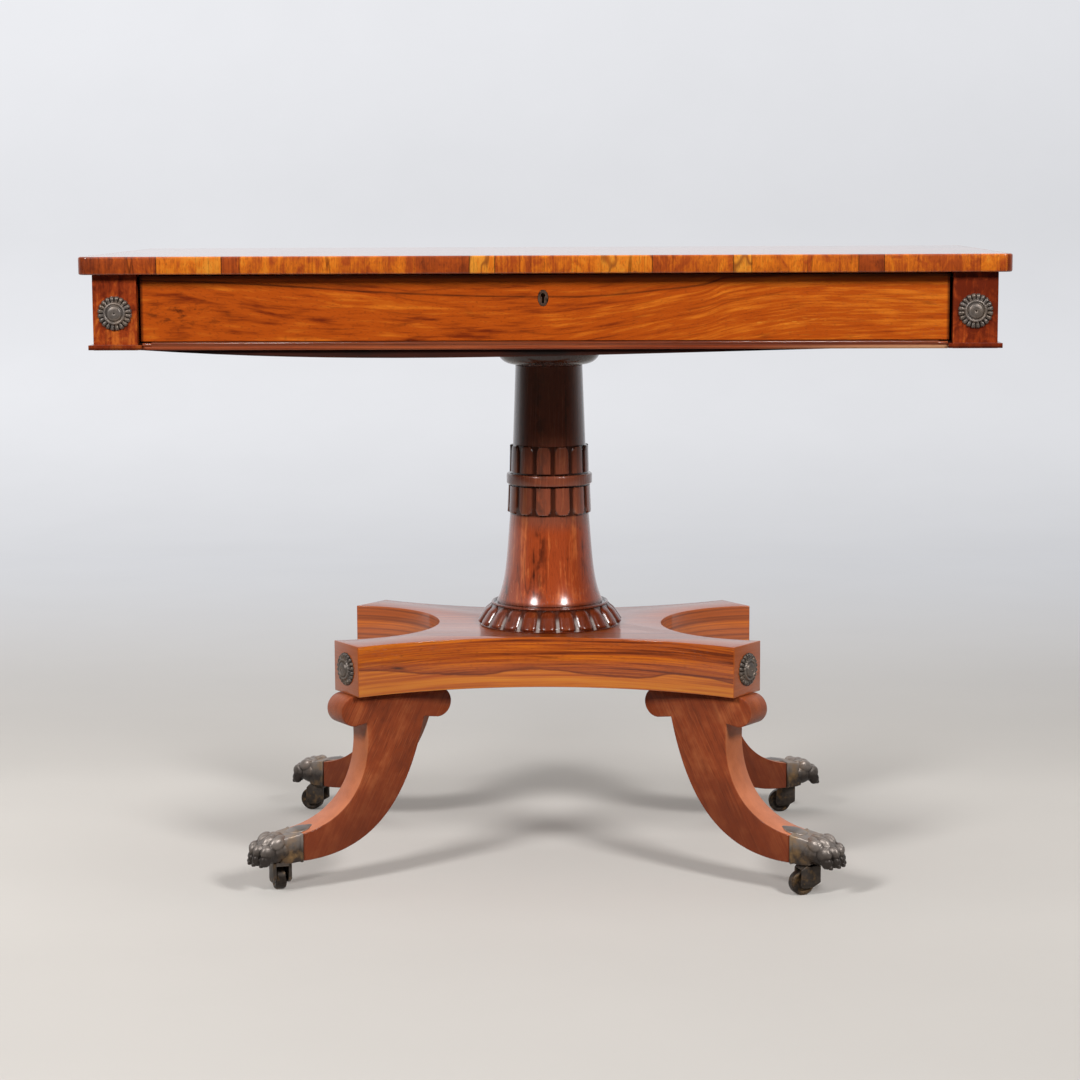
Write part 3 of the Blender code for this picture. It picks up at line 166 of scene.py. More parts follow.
class Value:
    """A node's output, to be reckoned with as a number, a place or a colour."""

    def __init__(self, tree, socket):
        self.tree = tree
        self.socket = socket

    def sum(self, operation, first, second=0.0):
        return self.tree.add("ShaderNodeMath", {0: first, 1: second}, operation=operation)

    def __add__(self, other):
        return self.sum("ADD", self, other)

    def __sub__(self, other):
        return self.sum("SUBTRACT", self, other)

    def __rsub__(self, other):
        return self.sum("SUBTRACT", other, self)

    def __mul__(self, other):
        return self.sum("MULTIPLY", self, other)

    def __truediv__(self, other):
        return self.sum("DIVIDE", self, other)

    def __lt__(self, other):
        return self.sum("LESS_THAN", self, other)

    def __gt__(self, other):
        return self.sum("GREATER_THAN", self, other)

    def __abs__(self):
        return self.sum("ABSOLUTE", self)

    def most(self, other):
        return self.sum("MAXIMUM", self, other)

    def least(self, other):
        return self.sum("MINIMUM", self, other)

    def split(self):
        """X, Y and Z of a place."""
        made = self.tree.node("ShaderNodeSeparateXYZ", {0: self})
        return [Value(self.tree, part) for part in made.outputs]

    def share(self, low, high):
        """How far the value has come from low to high, as 0 to 1."""
        return (self - low) * (1 / (high - low))

    def rise(self, low, high):
        """A soft step from 0 at low to 1 at high."""
        inputs = {0: self, 1: low, 2: high, 3: 0.0, 4: 1.0}
        return self.tree.add("ShaderNodeMapRange", inputs, interpolation_type="SMOOTHSTEP")

    def near(self, width):
        """1 where the value is 0, and 0 beyond the width."""
        return abs(self).rise(width, 0.0)

    def spread(self, low, high):
        """A straight scale from 0 and 1 to low and high."""
        return self.tree.add("ShaderNodeMapRange", {0: self, 1: 0.0, 2: 1.0, 3: low, 4: high})

    def pick(self, first, second):
        """A number, first where the value is 0 and second where it is 1."""
        return self.tree.add("ShaderNodeMix", {0: self, 2: first, 3: second}, data_type="FLOAT")

    def tint(self, factor, shade, blend="MIX"):
        """A colour with another one laid over it."""
        return self.tree.tint(factor, self, shade, blend)

    def cloud(self, stretch, detail=2.0, roughness=0.5, twist=0.0):
        """Noise whose cells are 1 / stretch long, in each direction where stretch is a tuple."""
        stretch = stretch if isinstance(stretch, tuple) else (stretch,) * 3
        scaled = self.tree.add("ShaderNodeVectorMath", {0: self, 1: stretch}, operation="MULTIPLY")
        inputs = {"Vector": scaled, "Scale": 1.0, "Detail": detail, "Roughness": roughness}
        return self.tree.add("ShaderNodeTexNoise", {**inputs, "Distortion": twist}, "Fac")

    def ramp(self, *stops, hard=False):
        """A colour between the stops, or one after another where they are hard."""
        made = self.tree.node("ShaderNodeValToRGB", {0: self})
        made.color_ramp.interpolation = "CONSTANT" if hard else "LINEAR"
        points = made.color_ramp.elements
        while len(points) < len(stops):
            points.new(1.0)
        for element, (position, shade) in zip(points, stops):
            element.position = position
            element.color = shade
        return Value(self.tree, made.outputs[0])

    def curve(self, *knots):
        """A drawn curve through its knots, from 0 to 1 both ways."""
        made = self.tree.node("ShaderNodeFloatCurve", {"Value": self})
        points = made.mapping.curves[0].points
        points[0].location = knots[0]
        points[1].location = knots[-1]
        for knot in knots[1:-1]:
            points.new(*knot)
        made.mapping.update()
        return Value(self.tree, made.outputs[0])


class Tree:
    """A node tree, with a short method for each kind of source that the finishes use."""

    def __init__(self, tree):
        self.tree = tree

    def feed(self, socket, value):
        if isinstance(value, Value):
            self.tree.links.new(value.socket, socket)
        else:
            socket.default_value = value

    def node(self, kind, inputs, **settings):
        """Adds a node; an input that is a value is linked, and any other one is set."""
        made = self.tree.nodes.new(kind)
        for key, value in settings.items():
            setattr(made, key, value)
        for key, value in inputs.items():
            self.feed(made.inputs[key], value)
        return made

    def add(self, kind, inputs, output=0, **settings):
        return Value(self, self.node(kind, inputs, **settings).outputs[output])

    def place(self, kind="Object"):
        """Coordinates as X, Y and Z; the world's Generated ones are the direction."""
        return self.add("ShaderNodeTexCoord", {}, kind).split()

    def own_place(self):
        """The piece's own coordinates, from before it was copied and turned to its place."""
        return self.add("ShaderNodeAttribute", {}, "Vector", attribute_name=GRAIN).split()

    def marked(self, name):
        """The number that mark stored at each point."""
        return self.add("ShaderNodeAttribute", {}, "Fac", attribute_name=name)

    def surface(self, kind):
        return self.add("ShaderNodeNewGeometry", {}, kind)

    def point(self, x, y, z):
        return self.add("ShaderNodeCombineXYZ", {0: x, 1: y, 2: z})

    def tint(self, factor, first, second, blend="MIX"):
        inputs = {0: factor, 6: first, 7: second}
        return self.add("ShaderNodeMix", inputs, 2, data_type="RGBA", blend_type=blend)


class Finish(Tree):
    """A material and its shader."""

    def __init__(self, name):
        self.material = bpy.data.materials.new(name)
        self.material.use_nodes = True
        super().__init__(self.material.node_tree)
        self.shader = self.tree.nodes["Principled BSDF"]

    def raise_bump(self, height, distance):
        bump = self.add("ShaderNodeBump", {"Strength": 1.0, "Distance": distance, "Height": height})
        self.feed(self.shader.inputs["Normal"], bump)

    def done(self, **sockets):
        """Sets or links the shader's sockets, named with _ for a space, and returns the material."""
        for key, value in sockets.items():
            self.feed(self.shader.inputs[key.replace("_", " ")], value)
        return self.material


# Woods


class Streaks:
    """The figure of one sawn leaf of rosewood, from the ways along, across and into its grain."""

    def __init__(self, finish, along, across, depth, wave, broad, fine, lines):
        self.finish = finish
        still = finish.point(along, across, depth)
        wander = still.cloud((2.6, 9.0, 9.0), 1.0)
        bent = across + (wander - 0.5) * wave
        self.grain = finish.point(along, bent, depth)
        self.broad = self.grain.cloud((1.5, broad, broad), 2.0, 0.55)
        self.fine = self.grain.cloud((6.0, fine, fine), 3.0, 0.6)
        veins = self.grain.cloud((1.1, lines, lines), 1.0)
        weight = still.cloud((5.0, 30.0, 30.0), 1.0)
        self.lines = (veins - 0.5).near(0.022) * weight.rise(0.42, 0.62)
        self.pores = self.grain.cloud((70.0, 1500.0, 1500.0), 0.0).rise(0.62, 0.74)

    def value(self, contrast):
        """Broad and fine streaks as one number round a half."""
        return self.broad + (self.fine - 0.5) * contrast

    def inked(self, shade, ink_and_shade, lines, pores):
        """Black growth lines and pores laid over a colour."""
        return shade.tint(self.lines * lines, ink_and_shade).tint(self.pores * pores, ink_and_shade)

    def polished(self, shade, shine=0.30, coat=0.55, coat_shine=0.06, pore_depth=0.00006, **sockets):
        """French polish: a thin clear coat that the pores still show through."""
        self.finish.raise_bump(self.fine + self.pores * -0.8, pore_depth)
        return self.finish.done(
            Base_Color=shade,
            Roughness=self.fine.spread(shine - 0.06, shine + 0.1),
            Specular_IOR_Level=0.2,
            Coat_Weight=coat,
            Coat_Roughness=coat_shine,
            **sockets,
        )


# The drawer's growth line and the grain at its foot, as (share of the width, of the height)
GROWTH_LINE = (
    (0.0, 0.93), (0.074, 0.906), (0.137, 0.873), (0.199, 0.824), (0.261, 0.769), (0.323, 0.728),
    (0.372, 0.696), (0.422, 0.678), (0.50, 0.667), (0.558, 0.673), (0.595, 0.702), (0.632, 0.746),
    (0.669, 0.797), (0.694, 0.834), (0.712, 0.894), (0.73, 0.954), (1.0, 1.0),
)
LOWER_GRAIN = (
    (0.0, 0.24), (0.3, 0.2), (0.48, 0.22), (0.62, 0.4), (0.75, 0.64), (0.87, 0.78), (1.0, 0.8),
)
# Where each piece of the banding starts, from the middle of the front, and how light it is
BANDING_PIECES = (
    (-0.520, 0.22), (-0.4997, 0.32), (-0.430, 0.66), (-0.3864, 0.78), (-0.3564, 0.36), (-0.336, 0.58),
    (-0.2897, 0.52), (-0.265, 0.62), (-0.2299, 0.54), (-0.181, 0.48), (-0.143, 0.36), (-0.101, 0.32),
    (-0.0833, 0.80), (-0.0534, 0.45), (-0.0137, 0.52), (0.0294, 0.62), (0.062, 0.76), (0.1213, 0.46),
    (0.1373, 0.52), (0.2098, 0.80), (0.229, 0.58), (0.2855, 0.54), (0.3469, 0.24), (0.3743, 0.50),
    (0.4278, 0.45), (0.4781, 0.58), (0.5076, 0.24),
)
BORDER_WIDTH = 0.055  # of the crossbanding on the top's face
SAPWOOD_HALF = 0.216  # half of the way over which the sapwood's edge on the platform is drawn
SAPWOOD_EDGE = (
    (0.0, 0.54), (0.08, 0.47), (0.135, 0.40), (0.20, 0.34), (0.33, 0.28), (0.42, 0.36), (0.51, 0.35),
    (0.63, 0.27), (0.755, 0.25), (0.84, 0.36), (0.90, 0.36), (1.0, 0.29),
)


def piece_tone(finish, along):
    """The tone of the short veneer pieces along an edge, and the fine dark joints between them."""
    inputs, kind = {"W": along + 3.17, "Scale": 17.0}, {"voronoi_dimensions": "1D"}
    drawn = finish.add("ShaderNodeTexVoronoi", inputs, "Color", **kind).split()[0]
    edge = finish.add("ShaderNodeTexVoronoi", inputs, "Distance", feature="DISTANCE_TO_EDGE", **kind)
    return drawn.spread(0.22, 0.62), edge.near(0.018)


def dimmed(shade, level):
    """A colour made darker or lighter."""
    return tuple(min(1.0, part * level) for part in shade[:3]) + (1.0,)


def drawer_veneer(colours):
    """One wide leaf along the drawer, with the long dark growth line that dips under the keyhole, painted
    shade under the top and at both ends, and painted light below that shade.
    """
    finish = Finish("rosewood_drawer_front")
    x, y, z = finish.place()
    low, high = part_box("drawer_front")
    run, share = x.share(low.x, high.x), z.share(low.z, high.z)
    place = finish.point(x, y, z)
    dip, climb = run.curve(*GROWTH_LINE), run.curve(*LOWER_GRAIN)
    across = (share - share.pick(climb, dip)) * (high.z - low.z)
    streaks = Streaks(finish, x * 3.2, across, 0.0, wave=0.005, broad=125.0, fine=460.0, lines=80.0)
    patches = finish.point(x, across, 0.0).cloud((13.0, 60.0, 1.0), 3.0, 0.62, 0.4)
    value = streaks.value(1.45) * 0.58 + patches * 0.42
    value += run.rise(0.5, 0.85) * 0.07
    value -= run.rise(0.2, 0.02) * 0.035
    value -= (run - 0.44).near(0.2) * 0.03
    pale = (run - 0.925).near(0.07)
    value += pale * ((share - 0.52).near(0.42) * 0.07)
    shade = value.ramp(
        (0.26, colours.drawer_dark),
        (0.46, colours.drawer_middle),
        (0.54, colours.drawer_middle),
        (0.76, colours.drawer_light),
    )
    shade = streaks.inked(shade, colours.ink_and_shade, 0.30, 0.20)
    above = share - dip
    waver = (place.cloud((26.0, 1.0, 26.0)) - 0.5) * 0.03
    breaks = place.cloud((38.0, 1.0, 38.0), 1.0).spread(0.4, 1.1)
    grown = (above + waver).near(0.026) * breaks
    halo = above.rise(0.2, 0.0) * above.rise(-0.02, 0.01)
    shade = shade.tint(halo * 0.15, colours.drawer_dark)
    # Painted light: a lighter band on the upper part of the front, softening the top's shade.
    shade = shade.tint(share.rise(0.8, 0.9) * 0.3, colours.drawer_light)
    # Painted shade under the top's overhang, along the top of the front face.
    front = finish.surface("Normal").split()[1] < -0.5
    shade = shade.tint(share.rise(0.92, 0.98) * front * 0.75, colours.ink_and_shade)
    shade = shade.tint(grown * 0.85, colours.ink_and_shade)
    smudge = (
        place.cloud((75.0, 1.0, 150.0), 3.0, 0.6).rise(0.5, 0.66)
        * ((run - 0.05).near(0.1) * (share - 0.42).near(0.3))
    )
    shade = shade.tint(smudge * 0.75, colours.ink_and_shade)
    fleck = (
        place.cloud((95.0, 1.0, 520.0), 1.0).rise(0.6, 0.7)
        * ((run - 0.8).near(0.09) * (share - 0.28).near(0.09))
    )
    shade = shade.tint(fleck * 0.7, colours.band_gold)
    # Painted shade at both ends, in the gaps beside the corner posts.
    edge = abs(run - 0.5).rise(0.4955, 0.4985)
    shade = shade.tint(edge * 0.65, colours.ink_and_shade)
    return streaks.polished(shade)


def banding_veneer(colours):
    """Crossbanding on the edge of the top: upright grain in short pieces, a few of them pale sapwood."""
    finish = Finish("rosewood_edge_banding")
    x, y, z = finish.place()
    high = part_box("top_edge_banding")[1]
    ends = abs(x).rise(high.x - 0.009, high.x - 0.007)
    rear = y > 0.0
    along = rear.pick(x, x * -1.0)
    along = ends.pick(along, y - 0.265)

    def laid(shift):
        share = (along + (high.x + shift)) * (0.5 / high.x)
        starts = [((start + high.x) / 2 / high.x, grey) for start, grey in BANDING_PIECES]
        return share.ramp(*((start, (grey, grey, grey, 1.0)) for start, grey in starts), hard=True)

    joint = abs(laid(0.0006) - laid(-0.0006))
    streaks = Streaks(finish, z * 3.0, along, y * 0.05, wave=0.004, broad=110.0, fine=430.0, lines=85.0)
    place = finish.point(along, 0.0, z)
    patches = place.cloud((60.0, 1.0, 42.0), 3.0, 0.65, 1.2)
    value = laid(0.0) + (streaks.value(0.8) - 0.5) * 0.5
    value += (patches - 0.5) * 0.8
    shade = value.ramp(
        (0.1, colours.band_dark),
        (0.42, colours.band_middle),
        (0.66, colours.drawer_light),
        (0.92, colours.band_gold),
    )
    shade = streaks.inked(shade, colours.ink_and_shade, 0.55, 0.35)
    wild = place.cloud((48.0, 1.0, 26.0), 1.0, 0.5, 0.3)
    squiggle = (wild - 0.46).near(0.06) * laid(0.0).rise(0.6, 0.8)
    squiggle *= along.rise(-0.25, -0.15)
    shade = shade.tint(squiggle * 0.7, colours.band_dark)
    shade = shade.tint(joint.rise(0.02, 0.3) * 0.7, colours.ink_and_shade)
    return streaks.polished(shade)


def top_veneer(colours):
    """The top's face: two matched leaves along it, and a crossbanded border with mitred corners."""
    finish = Finish("rosewood_top_face")
    x, y = finish.place()[:2]
    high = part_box("top_edge_banding")[1]
    from_end = high.x - abs(x)
    from_side = high.y - abs(y)
    inwards = from_end.least(from_side)
    border = inwards < BORDER_WIDTH
    at_end = from_end < from_side
    run = at_end.pick(x, y)
    reach = at_end.pick(y, x)
    along = border.pick(x, reach)
    across = border.pick(abs(y) + 0.31, run)
    streaks = Streaks(finish, along, across, 0.0, wave=0.030, broad=24.0, fine=230.0, lines=26.0)
    value, joint = piece_tone(finish, run)
    value = border.pick(0.46, value)
    value += (streaks.value(0.6) - 0.5) * 0.8
    shade = value.ramp(
        (0.15, colours.band_dark),
        (0.42, colours.drawer_middle),
        (0.7, colours.drawer_light),
        (0.95, colours.band_gold),
    )
    shade = streaks.inked(shade, colours.ink_and_shade, 0.75, 0.30)
    line = (inwards - BORDER_WIDTH).near(0.0009)
    mitre = (from_end - from_side).near(0.0009) * border
    seam = y.near(0.0006) * (1.0 - border)
    joints = line.most(mitre).most(seam * 0.5)
    joints = joints.most(joint * (border * 0.7))
    shade = shade.tint(joints * 0.5, colours.ink_and_shade)
    return streaks.polished(shade, 0.36, 1.0, 0.03, pore_depth=0.00001, Coat_IOR=1.5)


def post_veneer(colours):
    """Upright leaves on the corner posts, blotched red and orange, lighter at the foot."""
    finish = Finish("rosewood_corner_post")
    x, y, z = finish.place()
    low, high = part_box("corner_post_front_left")
    share = z.share(low.z, high.z)
    side = x + y
    streaks = Streaks(finish, z * 2.0, side, 0.0, wave=0.016, broad=85.0, fine=300.0, lines=60.0)
    blotch = finish.point(x, y, z).cloud((85.0, 85.0, 62.0), 3.0, 0.65, 0.8)
    value = streaks.value(0.6) * 0.36 + blotch * 0.64
    value += (share.rise(0.85, 0.1) - 0.5) * 0.09
    value -= x.rise(0.0, 0.1).spread(0.02, 0.12)
    shade = value.ramp((0.36, colours.post_dark), (0.5, colours.post_middle), (0.64, colours.post_light))
    shade = shade.tint(share.rise(0.085, 0.07) * 0.6, colours.post_dark)
    shade = shade.tint(share.rise(0.04, 0.028) * 0.6, colours.ink_and_shade)
    return streaks.polished(streaks.inked(shade, colours.ink_and_shade, 0.35, 0.30))


def rail_veneer(colours, name, along_x):
    """Plain long grain for the rails."""
    finish = Finish(name)
    x, y, z = finish.place()
    streaks = Streaks(finish, x if along_x else y, z, 0.0, wave=0.008, broad=70.0, fine=330.0, lines=50.0)
    shade = streaks.value(0.6).ramp(
        (0.3, colours.post_dark), (0.5, colours.drawer_middle), (0.74, colours.drawer_light)
    )
    return streaks.polished(streaks.inked(shade, colours.ink_and_shade, 0.45, 0.30))


def stained_and_shaded_wood(colours):
    """The rail under the drawer and the bearer: plain wood stained nearly black, which also paints the
    shade under the frieze.
    """
    finish = Finish("stained_and_shaded_rail")
    x, y, z = finish.place()
    grain = finish.point(x, y, z)
    fine = grain.cloud((8.0, 420.0, 420.0), 3.0, 0.6)
    soil = grain.cloud((14.0, 30.0, 30.0), 2.0)
    value = fine * 0.5 + soil * 0.5
    shade = value.ramp((0.35, colours.stain_and_shade), (0.7, colours.column_dark))
    finish.raise_bump(fine, 0.00008)
    return finish.done(Base_Color=shade, Roughness=fine.spread(0.55, 0.7), Specular_IOR_Level=0.15)


def moulding_wood(colours, name, along_x):
    """Red straight wood of the strips under the frieze, worn pale along the right of the front one."""
    finish = Finish(name)
    x, y, z = finish.place()
    low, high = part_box("front_moulding")
    along = x if along_x else y
    streaks = Streaks(finish, along * 1.6, z, 0.0, wave=0.0015, broad=120.0, fine=520.0, lines=90.0)
    share = z.share(low.z, high.z)
    value = streaks.value(0.6) * 0.7 + 0.15
    # Painted highlight: lighter towards the top of the bead.
    value += share.rise(0.3, 0.75) * 0.08
    shade = value.ramp(
        (0.34, colours.moulding_dark), (0.5, colours.moulding_middle), (0.66, colours.moulding_light)
    )
    shade = shade.tint(share.rise(0.9, 1.04) * 0.6, colours.ink_and_shade)
    if along_x:
        wear = x.rise(0.2, 0.42) * share.rise(0.62, 0.3)
        shade = shade.tint(wear * 0.75, colours.worn_wood)
    return streaks.polished(streaks.inked(shade, colours.ink_and_shade, 0.25, 0.20), 0.30, 0.45)


def column_wood(colours):
    """Turned rosewood with one wavy black streak down the front, painted nearly black at its head as the
    top's shade, with painted shade down its sides and in its grooves and a painted reflection low on the
    left.
    """
    finish = Finish("rosewood_column")
    x, y, z = finish.place()
    low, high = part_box("column_base_ring")[0].z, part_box("column_cap")[1].z
    share = z.share(low, high)
    streaks = Streaks(finish, z * 1.5, x, y * 0.5, wave=0.016, broad=85.0, fine=360.0, lines=60.0)
    ripple = finish.point(x, y, z).cloud((60.0, 60.0, 45.0), 2.0, 0.6, 0.8)
    value = streaks.value(0.7) * 0.7 + ripple * 0.3
    shade = value.ramp(
        (0.28, colours.column_dark),
        (0.42, colours.column_middle),
        (0.54, colours.column_middle),
        (0.68, colours.column_light),
    )
    shade = streaks.inked(shade, colours.ink_and_shade, 0.45, 0.30)
    swing = finish.point(0.0, 0.0, z).cloud((1.0, 1.0, 30.0), 2.0)
    sway = (swing - 0.5) * 0.022
    heart = (x + 0.0095 + sway).near(0.01) * (y < 0.0)
    blots = finish.point(x, 0.0, z).cloud((95.0, 1.0, 60.0), 3.0, 0.55, 0.4).rise(0.38, 0.62)
    shade = shade.tint(heart * (blots * 0.8), colours.column_dark)
    # Painted reflection: a pale grey sheen on the left of the trumpet.
    painted_sheen = x.rise(-0.02, -0.04) * share.rise(0.39, 0.33)
    shade = shade.tint(painted_sheen * 0.15, colours.sheen_grey)
    # Painted shade down the column's right side.
    shade = shade.tint(x.rise(0.018, 0.052) * 0.35, colours.column_dark)
    # Painted shade: darker towards the head, under the table top.
    painted_head_shade = share.rise(0.33, 0.39) * 0.52 + share.rise(0.52, 0.9) * 0.27
    shade = shade.tint(painted_head_shade, colours.column_head_shade)
    shadow = x.rise(-0.004, -0.036) * share.rise(0.39, 0.4)
    shade = shade.tint(shadow * 0.6, colours.ink_and_shade)
    # Painted shade on the cap, under the top.
    shade = shade.tint(share.rise(0.93, 0.94) * 0.8, colours.ink_and_shade)
    foot = share.rise(0.098, 0.086)
    shade = shade.tint(foot * 0.65, colours.column_dark)
    # Painted shade in the grooves between the lobes, beside the collar ring and on the base ring.
    shade = shade.tint(finish.marked(GROOVE_SHADE) * 0.85, colours.ink_and_shade)
    # Painted reflection in the gaps of the base ring.
    shade = shade.tint(finish.marked(GAP_SHEEN) * 0.75, colours.sheen_grey)
    return streaks.polished(shade, 0.24, 0.8, 0.16)


def platform_veneer(colours):
    """Level waves round the platform's sides, dark over pale sapwood, and long grain on its top."""
    finish = Finish("rosewood_platform")
    x, y, z = finish.place()
    low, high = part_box("platform")
    flat = abs(finish.surface("Normal").split()[2]).rise(0.6, 0.8)
    sideways = abs(x) * ARM_Y > abs(y) * ARM_X
    along = (sideways * (1.0 - flat)).pick(x, y)
    across = flat.pick(z, y)
    streaks = Streaks(finish, along * 2.0, across, 0.0, wave=0.01, broad=150.0, fine=460.0, lines=105.0)
    shade = streaks.value(0.7).ramp(
        (0.3, colours.platform_dark), (0.48, colours.platform_middle), (0.7, colours.drawer_light)
    )
    shade = streaks.inked(shade, colours.ink_and_shade, 0.40, 0.30)
    share = z.share(low.z, high.z)
    run = along.share(-SAPWOOD_HALF, SAPWOOD_HALF)
    below = run.curve(*SAPWOOD_EDGE) - share
    waver = finish.point(along, 0.0, z).cloud((45.0, 1.0, 45.0), 2.0) - 0.5
    below += waver * 0.05
    gold = streaks.value(0.6).ramp(
        (0.3, colours.platform_middle), (0.52, colours.platform_gold), (0.85, colours.band_gold)
    )
    out = abs(x) * ARM_X + abs(y) * ARM_Y
    end = out.rise(ARM_REACH - 0.0011, ARM_REACH - 0.0005)
    side = 1.0 - flat.most(end)
    shade = shade.tint(below.rise(-0.01, 0.03) * side, gold)
    rim = below.near(0.035) + below.rise(-0.22, -0.02) * 0.45
    rim *= below.rise(0.035, 0.0)
    shade = shade.tint(rim * side * 0.55, colours.platform_dark)
    knot = (along + 0.172).near(0.013) * (below + 0.06).near(0.055)
    shade = shade.tint(knot * side * 0.85, colours.ink_and_shade)
    plain = finish.tint(streaks.fine * 0.8, colours.post_light, colours.post_dark)
    shade = shade.tint(end * (1.0 - flat) * 0.85, plain)
    shade = shade.tint(flat * 0.6, colours.platform_middle)
    # Painted light on the sides of the arms.
    shade = shade.tint(sideways * side * 0.26, colours.leg_sheen)
    return streaks.polished(shade, 0.30, 0.68, 0.10)


def leg_wood(colours):
    """Solid rosewood sawn on the slant, so that fine light flecks run down along the leg."""
    finish = Finish("rosewood_leg")
    x, y, z = finish.own_place()
    slant = math.radians(62)
    along = z * math.sin(slant) - x * math.cos(slant)
    across = z * math.cos(slant) + x * math.sin(slant)
    streaks = Streaks(finish, along, across, y, wave=0.006, broad=70.0, fine=420.0, lines=60.0)
    mottle = finish.point(x, y, z).cloud(34.0, 3.0, 0.6)
    value = streaks.value(0.6) * 0.45 + mottle * 0.55
    shade = value.ramp((0.26, colours.leg_dark), (0.5, colours.leg_middle), (0.8, colours.leg_light))
    flecks = streaks.grain.cloud((34.0, 520.0, 520.0), 2.0).rise(0.56, 0.7)
    shade = shade.tint(flecks * 0.24, colours.leg_light)
    shade = streaks.inked(shade, colours.ink_and_shade, 0.22, 0.30)
    up = finish.place()[2]
    shade = shade.tint(up.rise(0.15, 0.06) * 0.58, colours.leg_dark)
    # Painted sheen on the faces between the leg's sides, below the top bar.
    sheen = finish.marked(SHEEN_FACES) * up.rise(0.192, 0.18).spread(0.25, 1.0)
    pale = finish.tint(up.rise(0.17, 0.09), colours.leg_light, colours.leg_sheen)
    shade = shade.tint(sheen * mottle.spread(0.35, 1.25), pale)
    return streaks.polished(shade, 0.38, 0.12)


def plain_wood(name, shade, along):
    """The drawer's lining and the carcase: straight grain, oiled and a little soiled."""
    finish = Finish(name)
    x, y, z = finish.place()
    order = {"X": (x, y, z), "Y": (y, x, z), "Z": (z, x, y)}[along]
    grain = finish.point(*order)
    rings = grain.cloud((1.5, 55.0, 55.0), 2.0, 0.55)
    fine = grain.cloud((12.0, 520.0, 520.0), 2.0)
    soil = grain.cloud(9.0, 3.0)
    value = rings * 0.7 + fine * 0.3
    darker = dimmed(shade, 0.45)
    lighter = dimmed(shade, 1.25)
    made = value.ramp((0.3, darker), (0.5, tuple(shade)), (0.72, lighter))
    made = made.tint(soil.rise(0.52, 0.7) * 0.35, darker)
    finish.raise_bump(fine, 0.00008)
    return finish.done(Base_Color=made, Roughness=fine.spread(0.5, 0.68))


# Metals


def mount_bronze(colours, name, wear=0.0, sole=None):
    """Cast bronze, dark in the hollows and rubbed on the heights; a paw is darker towards its sole."""
    finish = Finish(name)
    x, y, z = finish.own_place()
    place = finish.point(x, y, z)
    height = finish.surface("Pointiness")
    patina = place.cloud(160.0, 3.0, 0.6)
    cast = place.cloud(900.0, 2.0)
    rubbed = height.rise(0.45, 0.57) * (0.4 if sole is None else 0.7) + patina * 0.4
    rubbed += wear
    if sole is not None:
        up = finish.place()[2]
        rubbed += (up.rise(sole + 0.004, sole + 0.034) - 0.62) * 0.95
        rubbed -= x.rise(0.352, 0.3465) * 0.3  # the tongue on the leg
    middle = tuple(0.5 * (dark + grey) for dark, grey in zip(colours.bronze_dark, colours.bronze_grey))
    shade = rubbed.ramp((0.12, colours.bronze_dark), (0.55, middle), (0.95, colours.bronze_grey))
    # On the rosettes this also lays painted shade over the outer petals.
    shade = shade.tint(finish.marked(GROOVE_SHADE) * 0.72, colours.bronze_dark)
    patches = place.cloud(62.0, 3.0, 0.6).rise(0.4, 0.7)
    if sole is not None:
        patches *= x.rise(0.382, 0.36) * x.rise(0.3455, 0.3495)  # on the cuff only
    shade = shade.tint(patches * (0.15 if sole is None else 0.62), colours.bronze_worn)
    finish.raise_bump(cast + patina, 0.00015)
    return finish.done(Base_Color=shade, Metallic=0.6, Roughness=patina.spread(0.32, 0.55))


def caster_bronze(colours):
    """Near black metal with a little rust, rubbed grey along its edges."""
    finish = Finish("bronze_caster")
    x, y, z = finish.own_place()
    place = finish.point(x, y, z)
    height = finish.surface("Pointiness")
    patina = place.cloud(220.0, 3.0, 0.6)
    rust = place.cloud(120.0, 3.0).rise(0.5, 0.76)
    dark = dimmed(colours.iron, 0.35)
    shade = patina.ramp((0.35, dark), (0.62, colours.iron))
    shade = shade.tint(height.rise(0.5, 0.62) * 0.45, colours.bronze_grey)
    shade = shade.tint(rust * 0.4, colours.bronze_worn)
    finish.raise_bump(patina, 0.0002)
    return finish.done(Base_Color=shade, Metallic=0.8, Roughness=patina.spread(0.34, 0.62))


def plain_metal(name, shade, low, high):
    """Lock brass and iron, dull with handling."""
    finish = Finish(name)
    x, y, z = finish.place()
    place = finish.point(x, y, z)
    dull = place.cloud(180.0, 4.0, 0.6)
    scratch = place.cloud((60.0, 60.0, 1800.0), 2.0)
    darker = dimmed(shade, 0.30)
    made = dull.ramp((0.32, darker), (0.6, tuple(shade)))
    finish.raise_bump(dull + scratch * 0.5, 0.00006)
    return finish.done(Base_Color=made, Metallic=0.9, Roughness=dull.spread(low, high))


# Modelling


def clear_selection():
    if bpy.context.mode != "OBJECT":
        bpy.ops.object.mode_set(mode="OBJECT")
    bpy.ops.object.select_all(action="DESELECT")


def choose(obj):
    """Makes a piece the active one and the only one selected."""
    clear_selection()
    bpy.context.view_layer.objects.active = obj
    obj.select_set(True)


def named(name):
    made = bpy.context.object
    made.name = name
    made.data.name = name
    return made


def pull(move):
    """Extrudes what is selected."""
    bpy.ops.mesh.extrude_region_move(TRANSFORM_OT_translate={"value": move})


def draw(name, points):
    """A line through the points, drawn by extruding one vertex after another; stays in edit mode."""
    clear_selection()
    bpy.ops.mesh.primitive_plane_add(size=0.01)
    made = named(name)
    bpy.ops.object.mode_set(mode="EDIT")
    bpy.ops.mesh.select_mode(type="VERT")
    bpy.ops.mesh.select_all(action="SELECT")
    bpy.ops.mesh.merge(type="CENTER")
    points = [Vector(point) for point in points]
    bpy.ops.transform.translate(value=points[0])
    for before, after in zip(points, points[1:]):
        pull(after - before)
    bpy.ops.mesh.select_all(action="SELECT")
    return made


